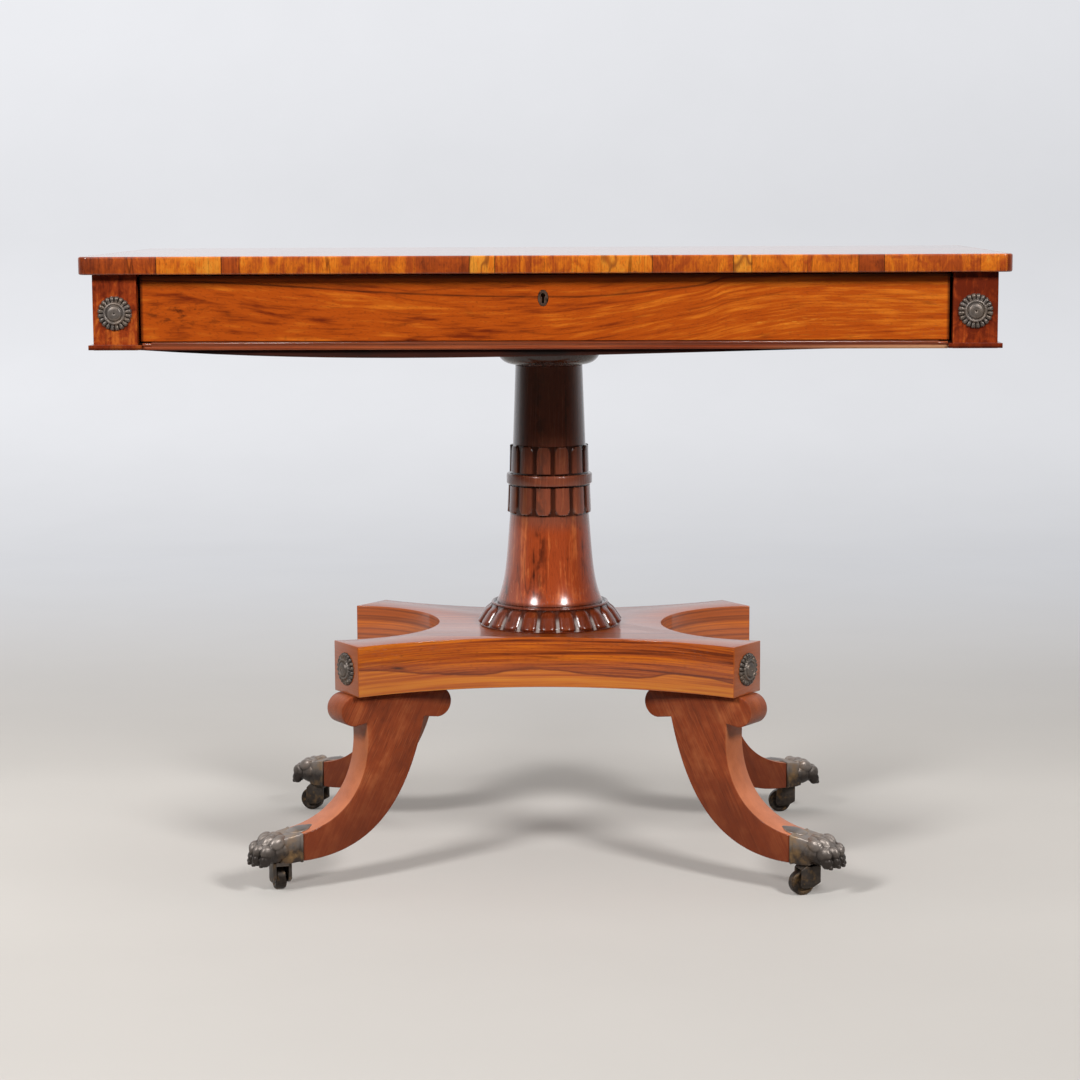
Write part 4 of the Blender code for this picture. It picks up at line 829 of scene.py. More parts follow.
def tidy():
    """Merges doubles, turns the faces outwards and leaves edit mode."""
    bpy.ops.mesh.select_all(action="SELECT")
    bpy.ops.mesh.remove_doubles(threshold=2e-6)
    bpy.ops.mesh.normals_make_consistent(inside=False)
    bpy.ops.object.mode_set(mode="OBJECT")


def turn(name, profile, steps):
    """Points of (radius, height) spun about Z."""
    made = draw(name, [(radius, 0, height) for radius, height in profile])
    bpy.ops.mesh.spin(steps=steps, angle=math.tau, center=(0, 0, 0), axis=(0, 0, 1))
    tidy()
    return made


def board(name, outline, *runs):
    """A closed outline filled and extruded, in as many runs as are given."""
    made = draw(name, outline)
    bpy.ops.mesh.edge_face_add()
    for run in runs:
        pull(run)
    tidy()
    return made


def apply(obj, kind, **settings):
    """Adds a modifier and applies it."""
    choose(obj)
    step = obj.modifiers.new(kind.lower(), kind)
    for key, value in settings.items():
        setattr(step, key, value)
    bpy.ops.object.modifier_apply(modifier=step.name)


def bevel(obj, width, segments, degrees):
    """Rounds the edges that are sharper than an angle."""
    limit = {"limit_method": "ANGLE", "angle_limit": math.radians(degrees)}
    apply(obj, "BEVEL", width=width, segments=segments, **limit)


def smooth(obj, degrees=35):
    choose(obj)
    bpy.ops.object.shade_smooth_by_angle(angle=math.radians(degrees))
    return obj


def melt(obj, grid):
    """Melts the parts of a casting together on a fine grid."""
    apply(obj, "REMESH", mode="VOXEL", voxel_size=grid)
    apply(obj, "SMOOTH", factor=0.5, iterations=2)
    return smooth(obj, 60)


def points_of(obj):
    place = np.empty(len(obj.data.vertices) * 3)
    obj.data.vertices.foreach_get("co", place)
    return place.reshape(-1, 3)


def move_points(obj, place):
    obj.data.vertices.foreach_set("co", place.ravel())
    obj.data.update()


def keep_grain(obj, shift):
    """Stores the piece's present coordinates, so that its finish follows it to its place."""
    stored = obj.data.attributes.get(GRAIN) or obj.data.attributes.new(GRAIN, "FLOAT_VECTOR", "POINT")
    stored.data.foreach_set("vector", (points_of(obj) + np.array(shift)).ravel())


def mark(obj, name, values):
    """Stores a number at each point, for the finish to read."""
    stored = obj.data.attributes.new(name, "FLOAT", "POINT")
    stored.data.foreach_set("value", np.asarray(values, dtype=np.float32))


def copied(obj, name, place, shift):
    """A copy with its own mesh, its grain shifted and its place in its mesh."""
    made = bpy.data.objects.new(name, obj.data.copy())
    made.data.name = name
    bpy.context.scene.collection.objects.link(made)
    keep_grain(made, shift)
    made.data.transform(place)
    return made


def remove(obj):
    bpy.data.objects.remove(obj, do_unlink=True)


def join(parts, name):
    clear_selection()
    for part in parts:
        part.select_set(True)
    bpy.context.view_layer.objects.active = parts[0]
    bpy.ops.object.join()
    return named(name)


def give(obj, finish, body, slot, *nodes):
    """The finish of a new piece, the body it rides on, its material slot (not used) and the nodes it
    stands for.
    """
    obj.data.materials.clear()
    obj.data.materials.append(finish)
    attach(obj, body)
    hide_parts(*nodes)


def dress(finish, edge, *nodes):
    """A finish and softened edges for nodes whose shape stays."""
    for node in nodes:
        obj = NODES[node]
        obj.material_slots[0].material = finish
        obj.modifiers.new("weld", "WELD").merge_threshold = 1e-5
        soften = obj.modifiers.new("soften", "BEVEL")
        soften.width = edge
        soften.segments = 2
        soften.limit_method = "ANGLE"
        soften.angle_limit = math.radians(40)
        obj.modifiers.new("shade", "WEIGHTED_NORMAL")


def leg_turn(corner):
    x, y = CORNERS[corner]
    return Matrix.Rotation(math.atan2(y * ARM_Y, x * ARM_X), 4, "Z")


def set_at_corners(piece, node, finish, slot, shift):
    """Copies a piece to the four arms, each copy cut from another place of the grain."""
    for i, corner in enumerate(CORNERS):
        place = [part * i for part in shift]
        made = copied(piece, f"table_{node}_{corner}", leg_turn(corner), place)
        give(made, finish, "table", slot, f"{node}_{corner}")
    remove(piece)


def step(values, low, high):
    """A soft step from 0 at low to 1 at high."""
    part = np.clip((values - low) / (high - low), 0, 1)
    return part * part * (3 - 2 * part)


def arc(centre, radius, start, end, steps):
    """Points on a circle between two angles, or on an ellipse where the radius is a pair."""
    wide, high = radius if isinstance(radius, tuple) else (radius, radius)
    angles = [math.radians(start + (end - start) * i / steps) for i in range(steps + 1)]
    return [(centre[0] + wide * math.cos(a), centre[1] + high * math.sin(a)) for a in angles]


def line(first, last, steps):
    """Points on a line of (radius, height)."""
    first, last = Vector(first), Vector(last)
    return [tuple(first.lerp(last, i / steps)) for i in range(steps + 1)]


def settings():
    return bpy.context.scene.table_sizes, bpy.context.scene.table_colours


# Pieces


class TABLE_OT_top(bpy.types.Operator):
    """Veneers the table top and its banded edge"""

    bl_idname = "table.top"
    bl_label = "Table top"

    def execute(self, context):
        sizes, colours = settings()
        dress(top_veneer(colours), sizes.edge_softness, "top_panel")
        strip = self.banding(sizes)
        give(strip, banding_veneer(colours), "table", "rosewood_banding", "top_edge_banding")
        return {"FINISHED"}

    def banding(self, sizes):
        """The strip round the top, with rounded arrises, cut out for the panel."""
        low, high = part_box("top_edge_banding")
        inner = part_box("top_panel")[1]
        rise = high.z - low.z
        made = board("table_top_banding", self.outline(high, 0.0120, low.z), (0, 0, rise))
        bevel(made, sizes.banding_arris, 4, 60)
        core_half = inner + Vector((GLUE_GAP, GLUE_GAP, 0))
        core = board("panel_core", self.outline(core_half, 0.0095, low.z - rise), (0, 0, 3 * rise))
        apply(made, "BOOLEAN", operation="DIFFERENCE", object=core, solver="EXACT")
        remove(core)
        return smooth(made, 50)

    def outline(self, half, radius, height):
        """A rounded rectangle about the axis."""
        points = []
        for turn_start, (x, y) in ((-90, (1, -1)), (0, (1, 1)), (90, (-1, 1)), (180, (-1, -1))):
            centre = (x * (half.x - radius), y * (half.y - radius))
            points += [(u, v, height) for u, v in arc(centre, radius, turn_start, turn_start + 90, 10)]
        return points


class TABLE_OT_frieze(bpy.types.Operator):
    """Veneers the corner posts and rails, stains the front rail and bearer nearly black as painted shade
    too, and finishes the mouldings and runners
    """

    bl_idname = "table.frieze"
    bl_label = "Frieze"

    room = 0.0018  # between the raised bead and the drawer's sides
    bead_foot = 0.0040  # height of the bead over the strip's foot
    bead_rise = 0.0011  # how far it is raised to close the gap under the drawer

    def execute(self, context):
        sizes, colours = settings()
        edge = sizes.edge_softness
        dress(post_veneer(colours), edge, *("corner_post_" + corner for corner in CORNERS))
        dress(rail_veneer(colours, "rosewood_rear_rail", True), edge, "rear_rail")
        dress(rail_veneer(colours, "rosewood_end_rail", False), edge, "end_rail_left", "end_rail_right")
        for name, sides in (("long", ("front", "rear")), ("end", ("left", "right"))):
            strip = moulding_wood(colours, f"rosewood_{name}_moulding", name == "long")
            for side in sides:
                give(self.moulding(side), strip, "table", "rosewood_solid", side + "_moulding")
        dress(stained_and_shaded_wood(colours), edge, "front_rail", "column_bearer")
        pine = plain_wood("pine_carcase", colours.carcase, "Y")
        dress(pine, edge, "drawer_runner_left", "drawer_runner_right")
        return {"FINISHED"}

    def moulding(self, side):
        """A strip under a rail; the front one rises to the drawer, clear of the drawer's sides."""
        low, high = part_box(side + "_moulding")
        section = self.section(high.z - low.z)
        name = f"table_{side}_moulding"
        if side in ("left", "right"):
            face, way = (high.x, -1) if side == "left" else (low.x, 1)
            outline = [(face + way * out, low.y, low.z + up) for out, up in section]
            made = board(name, outline, (0, high.y - low.y, 0))
        else:
            face, way = (high.y, -1) if side == "front" else (low.y, 1)
            outline = [(low.x, face + way * out, low.z + up) for out, up in section]
            clear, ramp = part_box("drawer_side_right")[0].x - self.room, 0.0006
            stations = (low.x, -clear, ramp - clear, clear - ramp, clear, high.x)
            runs = [(last - first, 0, 0) for first, last in zip(stations, stations[1:])]
            made = board(name, outline, *runs)
            if side == "front":
                place = points_of(made)
                bead = (np.abs(place[:, 0]) < clear - ramp / 2) & (place[:, 2] > low.z + self.bead_foot)
                place[bead, 2] += self.bead_rise
                move_points(made, place)
        return smooth(made, 40)

    def section(self, top):
        """A bead over a hollow over a small fillet, as (projection, height)."""
        fillet = [(0.0, 0.0), (0.0041, 0.0), (0.0045, 0.0004), (0.0045, 0.0012)]
        hollow = arc((0.0049, self.bead_foot), 0.0024, 270, 190, 6)
        bead = arc((0.0022, top - 0.0019), 0.0019, -60, 90, 9)
        return fillet + hollow + bead + [(0.0, top)]


class TABLE_OT_drawer(bpy.types.Operator):
    """Veneers the drawer front and finishes the drawer's lining and the keyhole's escutcheon"""

    bl_idname = "table.drawer"
    bl_label = "Drawer"

    def execute(self, context):
        sizes, colours = settings()
        edge = sizes.edge_softness
        dress(drawer_veneer(colours), edge, "drawer_front")
        sides = plain_wood("mahogany_sides", colours.lining, "Y")
        dress(sides, edge, "drawer_side_left", "drawer_side_right")
        across = plain_wood("mahogany_back_and_bottom", colours.lining, "X")
        dress(across, edge, "drawer_back", "drawer_bottom")
        brass = plain_metal("escutcheon_brass", colours.escutcheon, 0.40, 0.60)
        dress(brass, 0.0002, "keyhole_escutcheon")
        return {"FINISHED"}


class TABLE_OT_lock(bpy.types.Operator):
    """Finishes the lock case and its bolt"""

    bl_idname = "table.lock"
    bl_label = "Lock"

    def execute(self, context):
        sizes, colours = settings()
        dress(plain_metal("lock_brass", colours.brass, 0.30, 0.5), sizes.edge_softness, "lock_case")
        dress(plain_metal("bolt_iron", colours.steel, 0.25, 0.45), sizes.edge_softness, "lock_bolt")
        return {"FINISHED"}


def lobe_mask(phase, part, half, corner, soft):
    """1 on a lobe and 0 between lobes; part runs from its square end at 0 to its rounded end at 1."""
    beyond = np.clip((part - (1 - corner)) / corner, 0, 1)
    reach = half * np.sqrt(np.clip(1 - 0.75 * beyond**2.5, 0, 1))
    return step(reach - np.abs(phase), -soft, soft) * (1 - step(part, 0.97, 1.0))


def phases(place, lobes):
    """Where each point is between one groove at -0.5 and the next at 0.5."""
    turned = np.arctan2(place[:, 1], place[:, 0]) / math.tau * lobes
    return (turned % 1) - 0.5


def push_out(place, amount):
    """Moves points away from the axis."""
    radius = np.hypot(place[:, 0], place[:, 1])
    place[:, :2] *= ((radius + amount) / np.maximum(radius, 1e-9))[:, None]


class TABLE_OT_column(bpy.types.Operator):
    """Turns and carves the column: cap, shaft with its lobed collar, and base ring"""

    bl_idname = "table.column"
    bl_label = "Column"

    arris = 0.0006

    def execute(self, context):
        sizes, colours = settings()
        wood = column_wood(colours)
        made = {"cap": self.cap(), "shaft": self.shaft(sizes), "base_ring": self.ring(sizes)}
        for part, piece in made.items():
            give(piece, wood, "table", "rosewood_solid", "column_" + part)
        wedge = plain_wood("wedge_wood", colours.lining, "Z")
        dress(wedge, sizes.edge_softness, "column_wedge_upper", "column_wedge_lower")
        return {"FINISHED"}

    def cap(self):
        """A bowl under a straight rim, bored for the tenon."""
        low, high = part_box("column_cap")
        neck, rim, straight, arris = 0.0420, high.x, 0.0065, self.arris
        bowl_low = low.z + arris
        bowl_top = high.z - straight
        bowl = arc((neck, bowl_top), (rim - neck, bowl_top - bowl_low), -90, 0, 24)
        profile = [(BORE, low.z), (neck - arris, low.z), (neck, low.z + 0.0004)] + bowl
        profile += [(rim, high.z - arris), (rim - arris, high.z), (BORE, high.z), (BORE, low.z)]
        return smooth(turn("table_column_cap", profile, 120))

    def shaft(self, sizes):
        """Tenons, head, two lobed bands with a ring between them, and the trumpet foot."""
        tenon_bottom, tenon_top = (corner.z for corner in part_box("column_shaft"))
        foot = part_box("column_base_ring")[1].z + GLUE_GAP
        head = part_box("column_cap")[0].z - GLUE_GAP
        band_low = foot + sizes.trumpet_height
        band_top = band_low + sizes.lower_band_height
        collar_low = band_top + sizes.groove_height
        collar_top = collar_low + sizes.collar_ring_height
        upper_low = collar_top + sizes.groove_height
        upper_top = upper_low + sizes.upper_band_height
        shrink, arris, round_edge = 0.0004, self.arris, 0.0022
        neck, foot_radius = 0.0474, 0.0641
        trumpet = []
        for i in range(49):
            t = i / 48
            flare = 0.5 * t + 0.5 * t**5.5
            trumpet.append((neck + (foot_radius - neck) * flare, band_low - t * sizes.trumpet_height))
        lift = sizes.lobe_depth
        upper, lower = 0.0480 - lift, 0.0507 - lift
        groove, collar = 0.0452, 0.0515
        head_radius, head_foot = 0.0402, 0.0436
        profile = [(0, tenon_top - shrink), (TENON, tenon_top - shrink)]
        profile += [(TENON, head), (head_radius - arris, head)]
        profile += line((head_radius, head - arris), (head_foot, upper_top + arris), 14)
        profile += line((upper - 0.0008, upper_top), (upper, upper_low), 40)
        profile += [(groove, upper_low - 0.0004), (groove, collar_top + 0.0002)]
        profile += arc((collar - round_edge, collar_top - round_edge), round_edge, 90, 0, 6)
        profile += arc((collar - round_edge, collar_low + round_edge), round_edge, 0, -90, 6)
        profile += [(groove, collar_low - 0.0002), (groove, band_top + 0.0004)]
        profile += line((lower - 0.0014, band_top), (lower, band_low), 44)
        profile += trumpet[:-1] + [(foot_radius, foot + 0.0005), (foot_radius - arris, foot)]
        profile += [(TENON, foot), (TENON, tenon_bottom + shrink), (0, tenon_bottom + shrink)]
        made = turn("table_column_shaft", profile, sizes.collar_lobes * 26)
        place = points_of(made)
        phase = phases(place, sizes.collar_lobes)
        grooves = np.zeros(len(place))
        for near_end, far_end in ((upper_low, upper_top), (band_top, band_low)):
            part = (place[:, 2] - near_end) / (far_end - near_end)
            inside = (part > -1e-4) & (part < 1 + 1e-4) & (np.hypot(place[:, 0], place[:, 1]) > 0.0440)
            part = np.clip(part, 0, 1)
            mask = lobe_mask(phase, part, 0.385, 0.34, 0.030) * inside
            crown = 0.0007 * (1 - (phase / 0.41) ** 2)
            grooves += inside * (1 - mask)
            push_out(place, mask * (lift + crown - 0.0006))
        radius, height = np.hypot(place[:, 0], place[:, 1]), place[:, 2]
        collars = (height > band_top - 1e-4) & (height < upper_low + 1e-4) & (radius < collar - 0.0030)
        # The grooves between the lobes and beside the collar ring carry painted shade.
        mark(made, GROOVE_SHADE, np.maximum(grooves, collars))
        move_points(made, place)
        return smooth(made, 40)

    def ring(self, sizes):
        """A sloping ring of lobes, with a bead and a sunk line inside it."""
        low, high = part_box("column_base_ring")
        top, rim, dip = 0.0705, high.x, 0.0024
        rim_top = low.z + 0.0016
        slope_top = high.z - 0.0032
        lift = sizes.ring_lobe_depth
        start, end = (top - 0.0006, slope_top), (rim - 0.0022, rim_top)
        profile = [(BORE, high.z), (0.0628, high.z), (0.0636, high.z - dip)]
        profile += [(0.0666, high.z - dip), (0.0672, high.z - 0.0012)]
        profile += arc((top - 0.0016, high.z - 0.0016), (0.0018, 0.0016), 90, -90, 10)
        profile += line(start, end, 44)
        profile += [(rim - 0.0020, low.z + 0.0004), (rim - 0.0026, low.z), (BORE, low.z), (BORE, high.z)]
        made = turn("table_column_base_ring", profile, sizes.ring_lobes * 18)
        place = points_of(made)
        part = (slope_top - place[:, 2]) / (slope_top - rim_top)
        radius = np.hypot(place[:, 0], place[:, 1])
        inside = (part > -1e-3) & (part < 1.002) & (radius > 0.06)
        part = np.clip(part, 0, 1)
        phase = phases(place, sizes.ring_lobes)
        swell = np.sqrt(np.clip(1 - np.clip((part - 0.80) / 0.20, 0, 1) ** 2, 0, 1))
        head = np.clip(1 - part / 0.26, 0, 1)
        half = 0.40 * (0.30 + 0.70 * swell) * np.sqrt(1 - 0.80 * head**2)
        dome = np.sqrt(np.clip(1 - (phase / half) ** 2, 0, 1)) ** 0.8
        push = inside * dome * lift * (0.30 + 0.70 * step(part, 0.0, 0.40)) * np.clip(swell * 1.4, 0, 1)
        between_lobes = 1 - step(dome * swell, 0.05, 0.45)
        # The lower gaps between the lobes carry a painted pale reflection.
        mark(made, GAP_SHEEN, inside * step(part, 0.30, 0.60) * step(np.abs(phase), 0.41, 0.44))
        # Painted shade in the sunk line, between the lobes and at the top of the slope.
        sunk = (radius > 0.0630) & (radius < top - 0.0030) & (place[:, 2] > high.z - dip - 1e-5)
        dark = inside * np.maximum(between_lobes * 0.8, 1 - step(part, 0.02, 0.16))
        mark(made, GROOVE_SHADE, np.maximum(dark, sunk))
        push_out(place, push * 0.80)
        place[:, 2] += push * 0.45
        move_points(made, place)
        return smooth(made, 45)


class TABLE_OT_platform(bpy.types.Operator):
    """Saws the platform with its four hollowed sides"""

    bl_idname = "table.platform"
    bl_label = "Platform"

    def execute(self, context):
        colours = settings()[1]
        low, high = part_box("platform")
        outline = [(x, y, low.z) for x, y in self.outline()]
        made = board("table_platform", outline, (0, 0, high.z - low.z))
        bevel(made, 0.0008, 3, 40)
        smooth(made, 30)
        give(made, platform_veneer(colours), "table", "rosewood_veneer", "platform")
        return {"FINISHED"}

    def outline(self):
        """The four canted ends with a hollow from each to the next, through the waist."""
        half = 0.0295
        waists = ((0.1346, 0), (0, 0.1096), (-0.1346, 0), (0, -0.1096))
        ends = []
        for corner in ("front_right", "rear_right", "rear_left", "front_left"):
            out = leg_turn(corner) @ Vector((1, 0, 0))
            across = Vector((-out.y, out.x)) * half
            end = Vector((out.x, out.y)) * ARM_REACH
            ends.append((end - across, end + across))
        points = []
        for i, waist in enumerate(waists):
            points += [tuple(ends[i][0]), tuple(ends[i][1])]
            points += self.hollow(ends[i][1], Vector(waist), ends[(i + 1) % 4][0])
        return points

    def hollow(self, start, waist, end, steps=48):
        """Points on the circle through three points, without its two ends."""
        middle = (start + end) / 2
        sag, half = (waist - middle).length, (end - start).length / 2
        radius = (half * half + sag * sag) / (2 * sag)
        centre = waist + (middle - waist).normalized() * radius
        first = start - centre
        sweep = first.angle_signed(end - centre)
        return [tuple(centre + Matrix.Rotation(-sweep * i / steps, 2) @ first) for i in range(1, steps)]


def bezier(first, pull, push, last, steps):
    """Points on a curve that leaves towards one point and comes in from another."""
    points = []
    for i in range(steps + 1):
        t = i / steps
        weights = ((1 - t) ** 3, 3 * t * (1 - t) ** 2, 3 * t * t * (1 - t), t**3)
        pulls = list(zip(weights, (first, pull, push, last)))
        points.append(tuple(sum(weight * spot[k] for weight, spot in pulls) for k in (0, 1)))
    return points


class TABLE_OT_legs(bpy.types.Operator):
    """Saws one sabre leg with its scrolled top bar and sets it at the four corners"""

    bl_idname = "table.legs"
    bl_label = "Legs"

    def execute(self, context):
        sizes, colours = settings()
        thickness = 0.0380
        outline = [(x, -thickness / 2, z) for x, z in self.outline()]
        leg = board("table_leg", outline, (0, thickness, 0))
        bevel(leg, sizes.leg_edge, 3, 50)
        smooth(leg, 30)
        # The faces between the two sides are marked for painted sheen.
        inside = thickness / 2 - np.abs(points_of(leg)[:, 1])
        mark(leg, SHEEN_FACES, step(inside, 0.0002, 0.0010))
        set_at_corners(leg, "leg", leg_wood(colours), "rosewood_solid", (0.37, 0.11, 0.23))
        return {"FINISHED"}

    def outline(self):
        """The scrolled bar and the sabre curve under it, as (distance from the axis, height)."""
        top, bar = 0.2220, 0.0355
        inner, outer, neck_in, neck_out, end = 0.1495, 0.2945, 0.1860, 0.2620, 0.3465
        end_top, end_low = 0.0690, 0.0368
        half = bar / 2
        neck = top - bar + 0.0025
        front = self.sabre((neck_out, neck), (end, end_top), ((-0.083, 0.47), (0.20, 0.91)))
        back = self.sabre((neck_in, neck), (end, end_low), ((0.124, 0.546), (0.363, 1.008)))
        return (
            arc((inner + half, top - half), half, 270, 90, 28)
            + arc((outer - half, top - half), half, 90, -90, 28)
            + front
            + back[::-1]
        )

    def sabre(self, first, last, pulls):
        """A curve whose pulls are given as shares of its reach and its drop."""
        reach, drop = last[0] - first[0], first[1] - last[1]
        pulled = [(first[0] + across * reach, first[1] - down * drop) for across, down in pulls]
        return bezier(first, *pulled, last, 34)


def lump(centre, size, tilt=0.0):
    """A ball pulled to size and leant back, as one lump of a cast paw."""
    clear_selection()
    bpy.ops.mesh.primitive_uv_sphere_add(segments=24, ring_count=16, radius=0.5, location=(0, 0, 0))
    made = bpy.context.object
    lean = Matrix.Rotation(math.radians(tilt), 4, "Y")
    made.data.transform(Matrix.Translation(centre) @ lean @ Matrix.Diagonal((*size, 1)))
    return made


class TABLE_OT_paws(bpy.types.Operator):
    """Models one lion paw cap with its cuff, knuckles, toes and claws and sets it on the four legs"""

    bl_idname = "table.paws"
    bl_label = "Paw caps"

    back = 0.3468  # of the cuff, and the tips of the claws, from the axis
    tip = 0.4065
    sole = 0.0353  # over the floor

    def execute(self, context):
        sizes, colours = settings()
        bronze = mount_bronze(colours, "bronze_paw", sole=self.sole)
        paw = join([self.cuff(sizes), self.foot(sizes)], "table_paw")
        set_at_corners(paw, "paw_cap", bronze, "patinated_brass", (0, 0.31, 0.17))
        return {"FINISHED"}

    def cuff(self, sizes):
        """A tapered socket with a lip at the wood."""
        clear_selection()
        low, high, half = 0.0356, 0.0702, 0.0202
        bpy.ops.mesh.primitive_cube_add(size=1.0)
        made = named("paw_cuff")
        made.data.transform(
            Matrix.Translation((self.back + 0.0015, 0, (low + high) / 2))
            @ Matrix.Diagonal((0.003, 2 * half, high - low, 1))
        )
        bpy.ops.object.mode_set(mode="EDIT")
        for move, scale in ((0.0008, 0.95), (0.0120, 0.97), (0.0100, 0.90)):
            bpy.ops.mesh.select_all(action="DESELECT")
            self.pick_front(made)
            pull((move, 0, -0.10 * move))
            bpy.ops.transform.resize(value=(1, scale, scale))
        tidy()
        bevel(made, 0.0042, 5, 50)
        return melt(made, sizes.paw_grid)

    def pick_front(self, made):
        """Selects the face that looks furthest outwards."""
        bpy.ops.object.mode_set(mode="OBJECT")
        faces = made.data.polygons
        front = max(faces, key=lambda face: (face.normal.x > 0.9) * face.center.x)
        for face in faces:
            face.select = face.index == front.index
        bpy.ops.object.mode_set(mode="EDIT")
        bpy.ops.mesh.select_mode(type="FACE")

    def foot(self, sizes):
        """Instep, crest and its tongue, knuckles and toes melted together, and the claws."""
        lumps = [
            lump((0.3745, 0, 0.0515), (0.0500, 0.0400, 0.0330), 8),  # instep
            lump((0.3440, 0, 0.0702), (0.0300, 0.0250, 0.0050), 9),  # crest on the cuff
            lump((0.3345, 0, 0.0718), (0.0180, 0.0120, 0.0038), 9),  # its tongue on the leg
        ]
        for y in (-0.0095, 0.0, 0.0095):
            lumps.append(lump((0.3720, y, 0.0658 - abs(y) * 0.2), (0.0140, 0.0108, 0.0100), 12))
        for setback, y in self.toes():
            lumps.append(lump((0.3835 - setback, y, 0.0608), (0.0200, 0.0112, 0.0150), 24))
            lumps.append(lump((0.3950 - setback, y, 0.0510), (0.0180, 0.0110, 0.0190), 40))
            lumps.append(lump((0.3985 - setback, y, 0.0425), (0.0140, 0.0104, 0.0150), 0))
        foot = self.cut(join(lumps, "paw_foot"), self.tip - 0.001)
        melt(foot, sizes.paw_grid)
        claws = []
        for setback, y in self.toes():
            claw = lump((0.4025 - setback, y, 0.0385), (0.0090, 0.0050, 0.0062), 30)
            claws.append(smooth(self.cut(claw, self.tip), 60))
        return join([foot] + claws, "paw_foot")

    def cut(self, made, tip):
        """Presses a lump flat at the sole and at the tips of the toes."""
        place = points_of(made)
        place[:, 2] = np.maximum(place[:, 2], self.sole)
        place[:, 0] = np.minimum(place[:, 0], tip)
        move_points(made, place)
        return made

    def toes(self):
        """Setback and distance from the middle of each toe."""
        return [(0.0046 * (abs(i - 1.5) > 1), (i - 1.5) * 0.0104) for i in range(4)]


class TABLE_OT_casters(bpy.types.Operator):
    """Models one caster fork and wheel and sets them under the four paws"""

    bl_idname = "table.casters"
    bl_label = "Casters"

    # How far each caster has swivelled, where its spindle is from the axis, and how far its wheel trails
    turns = {"front_left": 110, "front_right": 200, "rear_left": 162, "rear_right": 180}
    reach = 0.3660
    trail = 0.0130
    wheel_radius = 0.0143

    def execute(self, context):
        bronze = caster_bronze(settings()[1])
        fork, wheel = self.fork(), self.wheel()
        for i, (corner, degrees) in enumerate(self.turns.items()):
            x, y = CORNERS[corner]
            spot = (x * self.reach * ARM_X, y * self.reach * ARM_Y, 0)
            swivel = Matrix.Translation(spot) @ Matrix.Rotation(math.radians(degrees), 4, "Z")
            roller = swivel @ Matrix.Translation((self.trail, 0, self.wheel_radius))
            for part, body, place in ((fork, "caster", swivel), (wheel, "wheel", roller)):
                node = f"{part.name}_{corner}"
                made = copied(part, "table_" + node, place, (0.21 * i, 0.13 * i, 0.0))
                give(made, bronze, f"{body}_{corner}", "patinated_brass", node)
        remove(fork)
        remove(wheel)
        return {"FINISHED"}

    def fork(self):
        """Crown, two cheeks and the spindle."""
        top, bottom, slot, cheek = 0.0348, 0.0306, 0.0070, 0.0040
        nose = arc((self.trail, self.wheel_radius), 0.0052, -90, 15, 14)
        back, front, shoulder = -0.0065, 0.0170, 0.0128
        side = [(back, top), (back, 0.0150), (0.0020, 0.0098)] + nose + [(front, bottom), (shoulder, top)]
        parts = []
        for start in (-slot - cheek, slot):
            plate = board("fork_cheek", [(x, start, z) for x, z in side], (0, cheek, 0))
            bevel(plate, 0.0009, 3, 40)
            parts.append(plate)
        crown = [(back, bottom), (front, bottom), (shoulder, top), (back, top)]
        lap = slot + 0.0004
        parts.append(board("fork_crown", [(x, -lap, z) for x, z in crown], (0, 2 * lap, 0)))
        pin, arris, pin_top, pin_low = 0.0040, 0.0008, top + 0.0088, bottom + 0.001
        profile = [(0, pin_top), (pin - arris, pin_top), (pin, pin_top - arris)]
        profile += [(pin, pin_low), (0, pin_low)]
        parts.append(turn("fork_spindle", profile, 40))
        return smooth(join(parts, "caster_fork"))

    def wheel(self):
        """A rounded tread with a boss on each side, on its axle, laid along Y."""
        half, radius, axle, end, round_edge = 0.0065, self.wheel_radius, 0.0020, 0.0109, 0.0026
        tread = arc((radius - round_edge, half - round_edge), round_edge, 90, 0, 8)
        upper = [(0, end), (axle - 0.0004, end), (axle, end - 0.0004), (axle, half), (0.0045, half)]
        upper += [(0.0052, half - 0.0008), (0.0090, half - 0.0010), (0.0104, half - 0.0002)] + tread
        profile = upper + [(r, -z) for r, z in reversed(upper)]
        made = turn("caster_wheel", profile, 72)
        made.data.transform(Matrix.Rotation(math.radians(90), 4, "X"))
        return smooth(made)


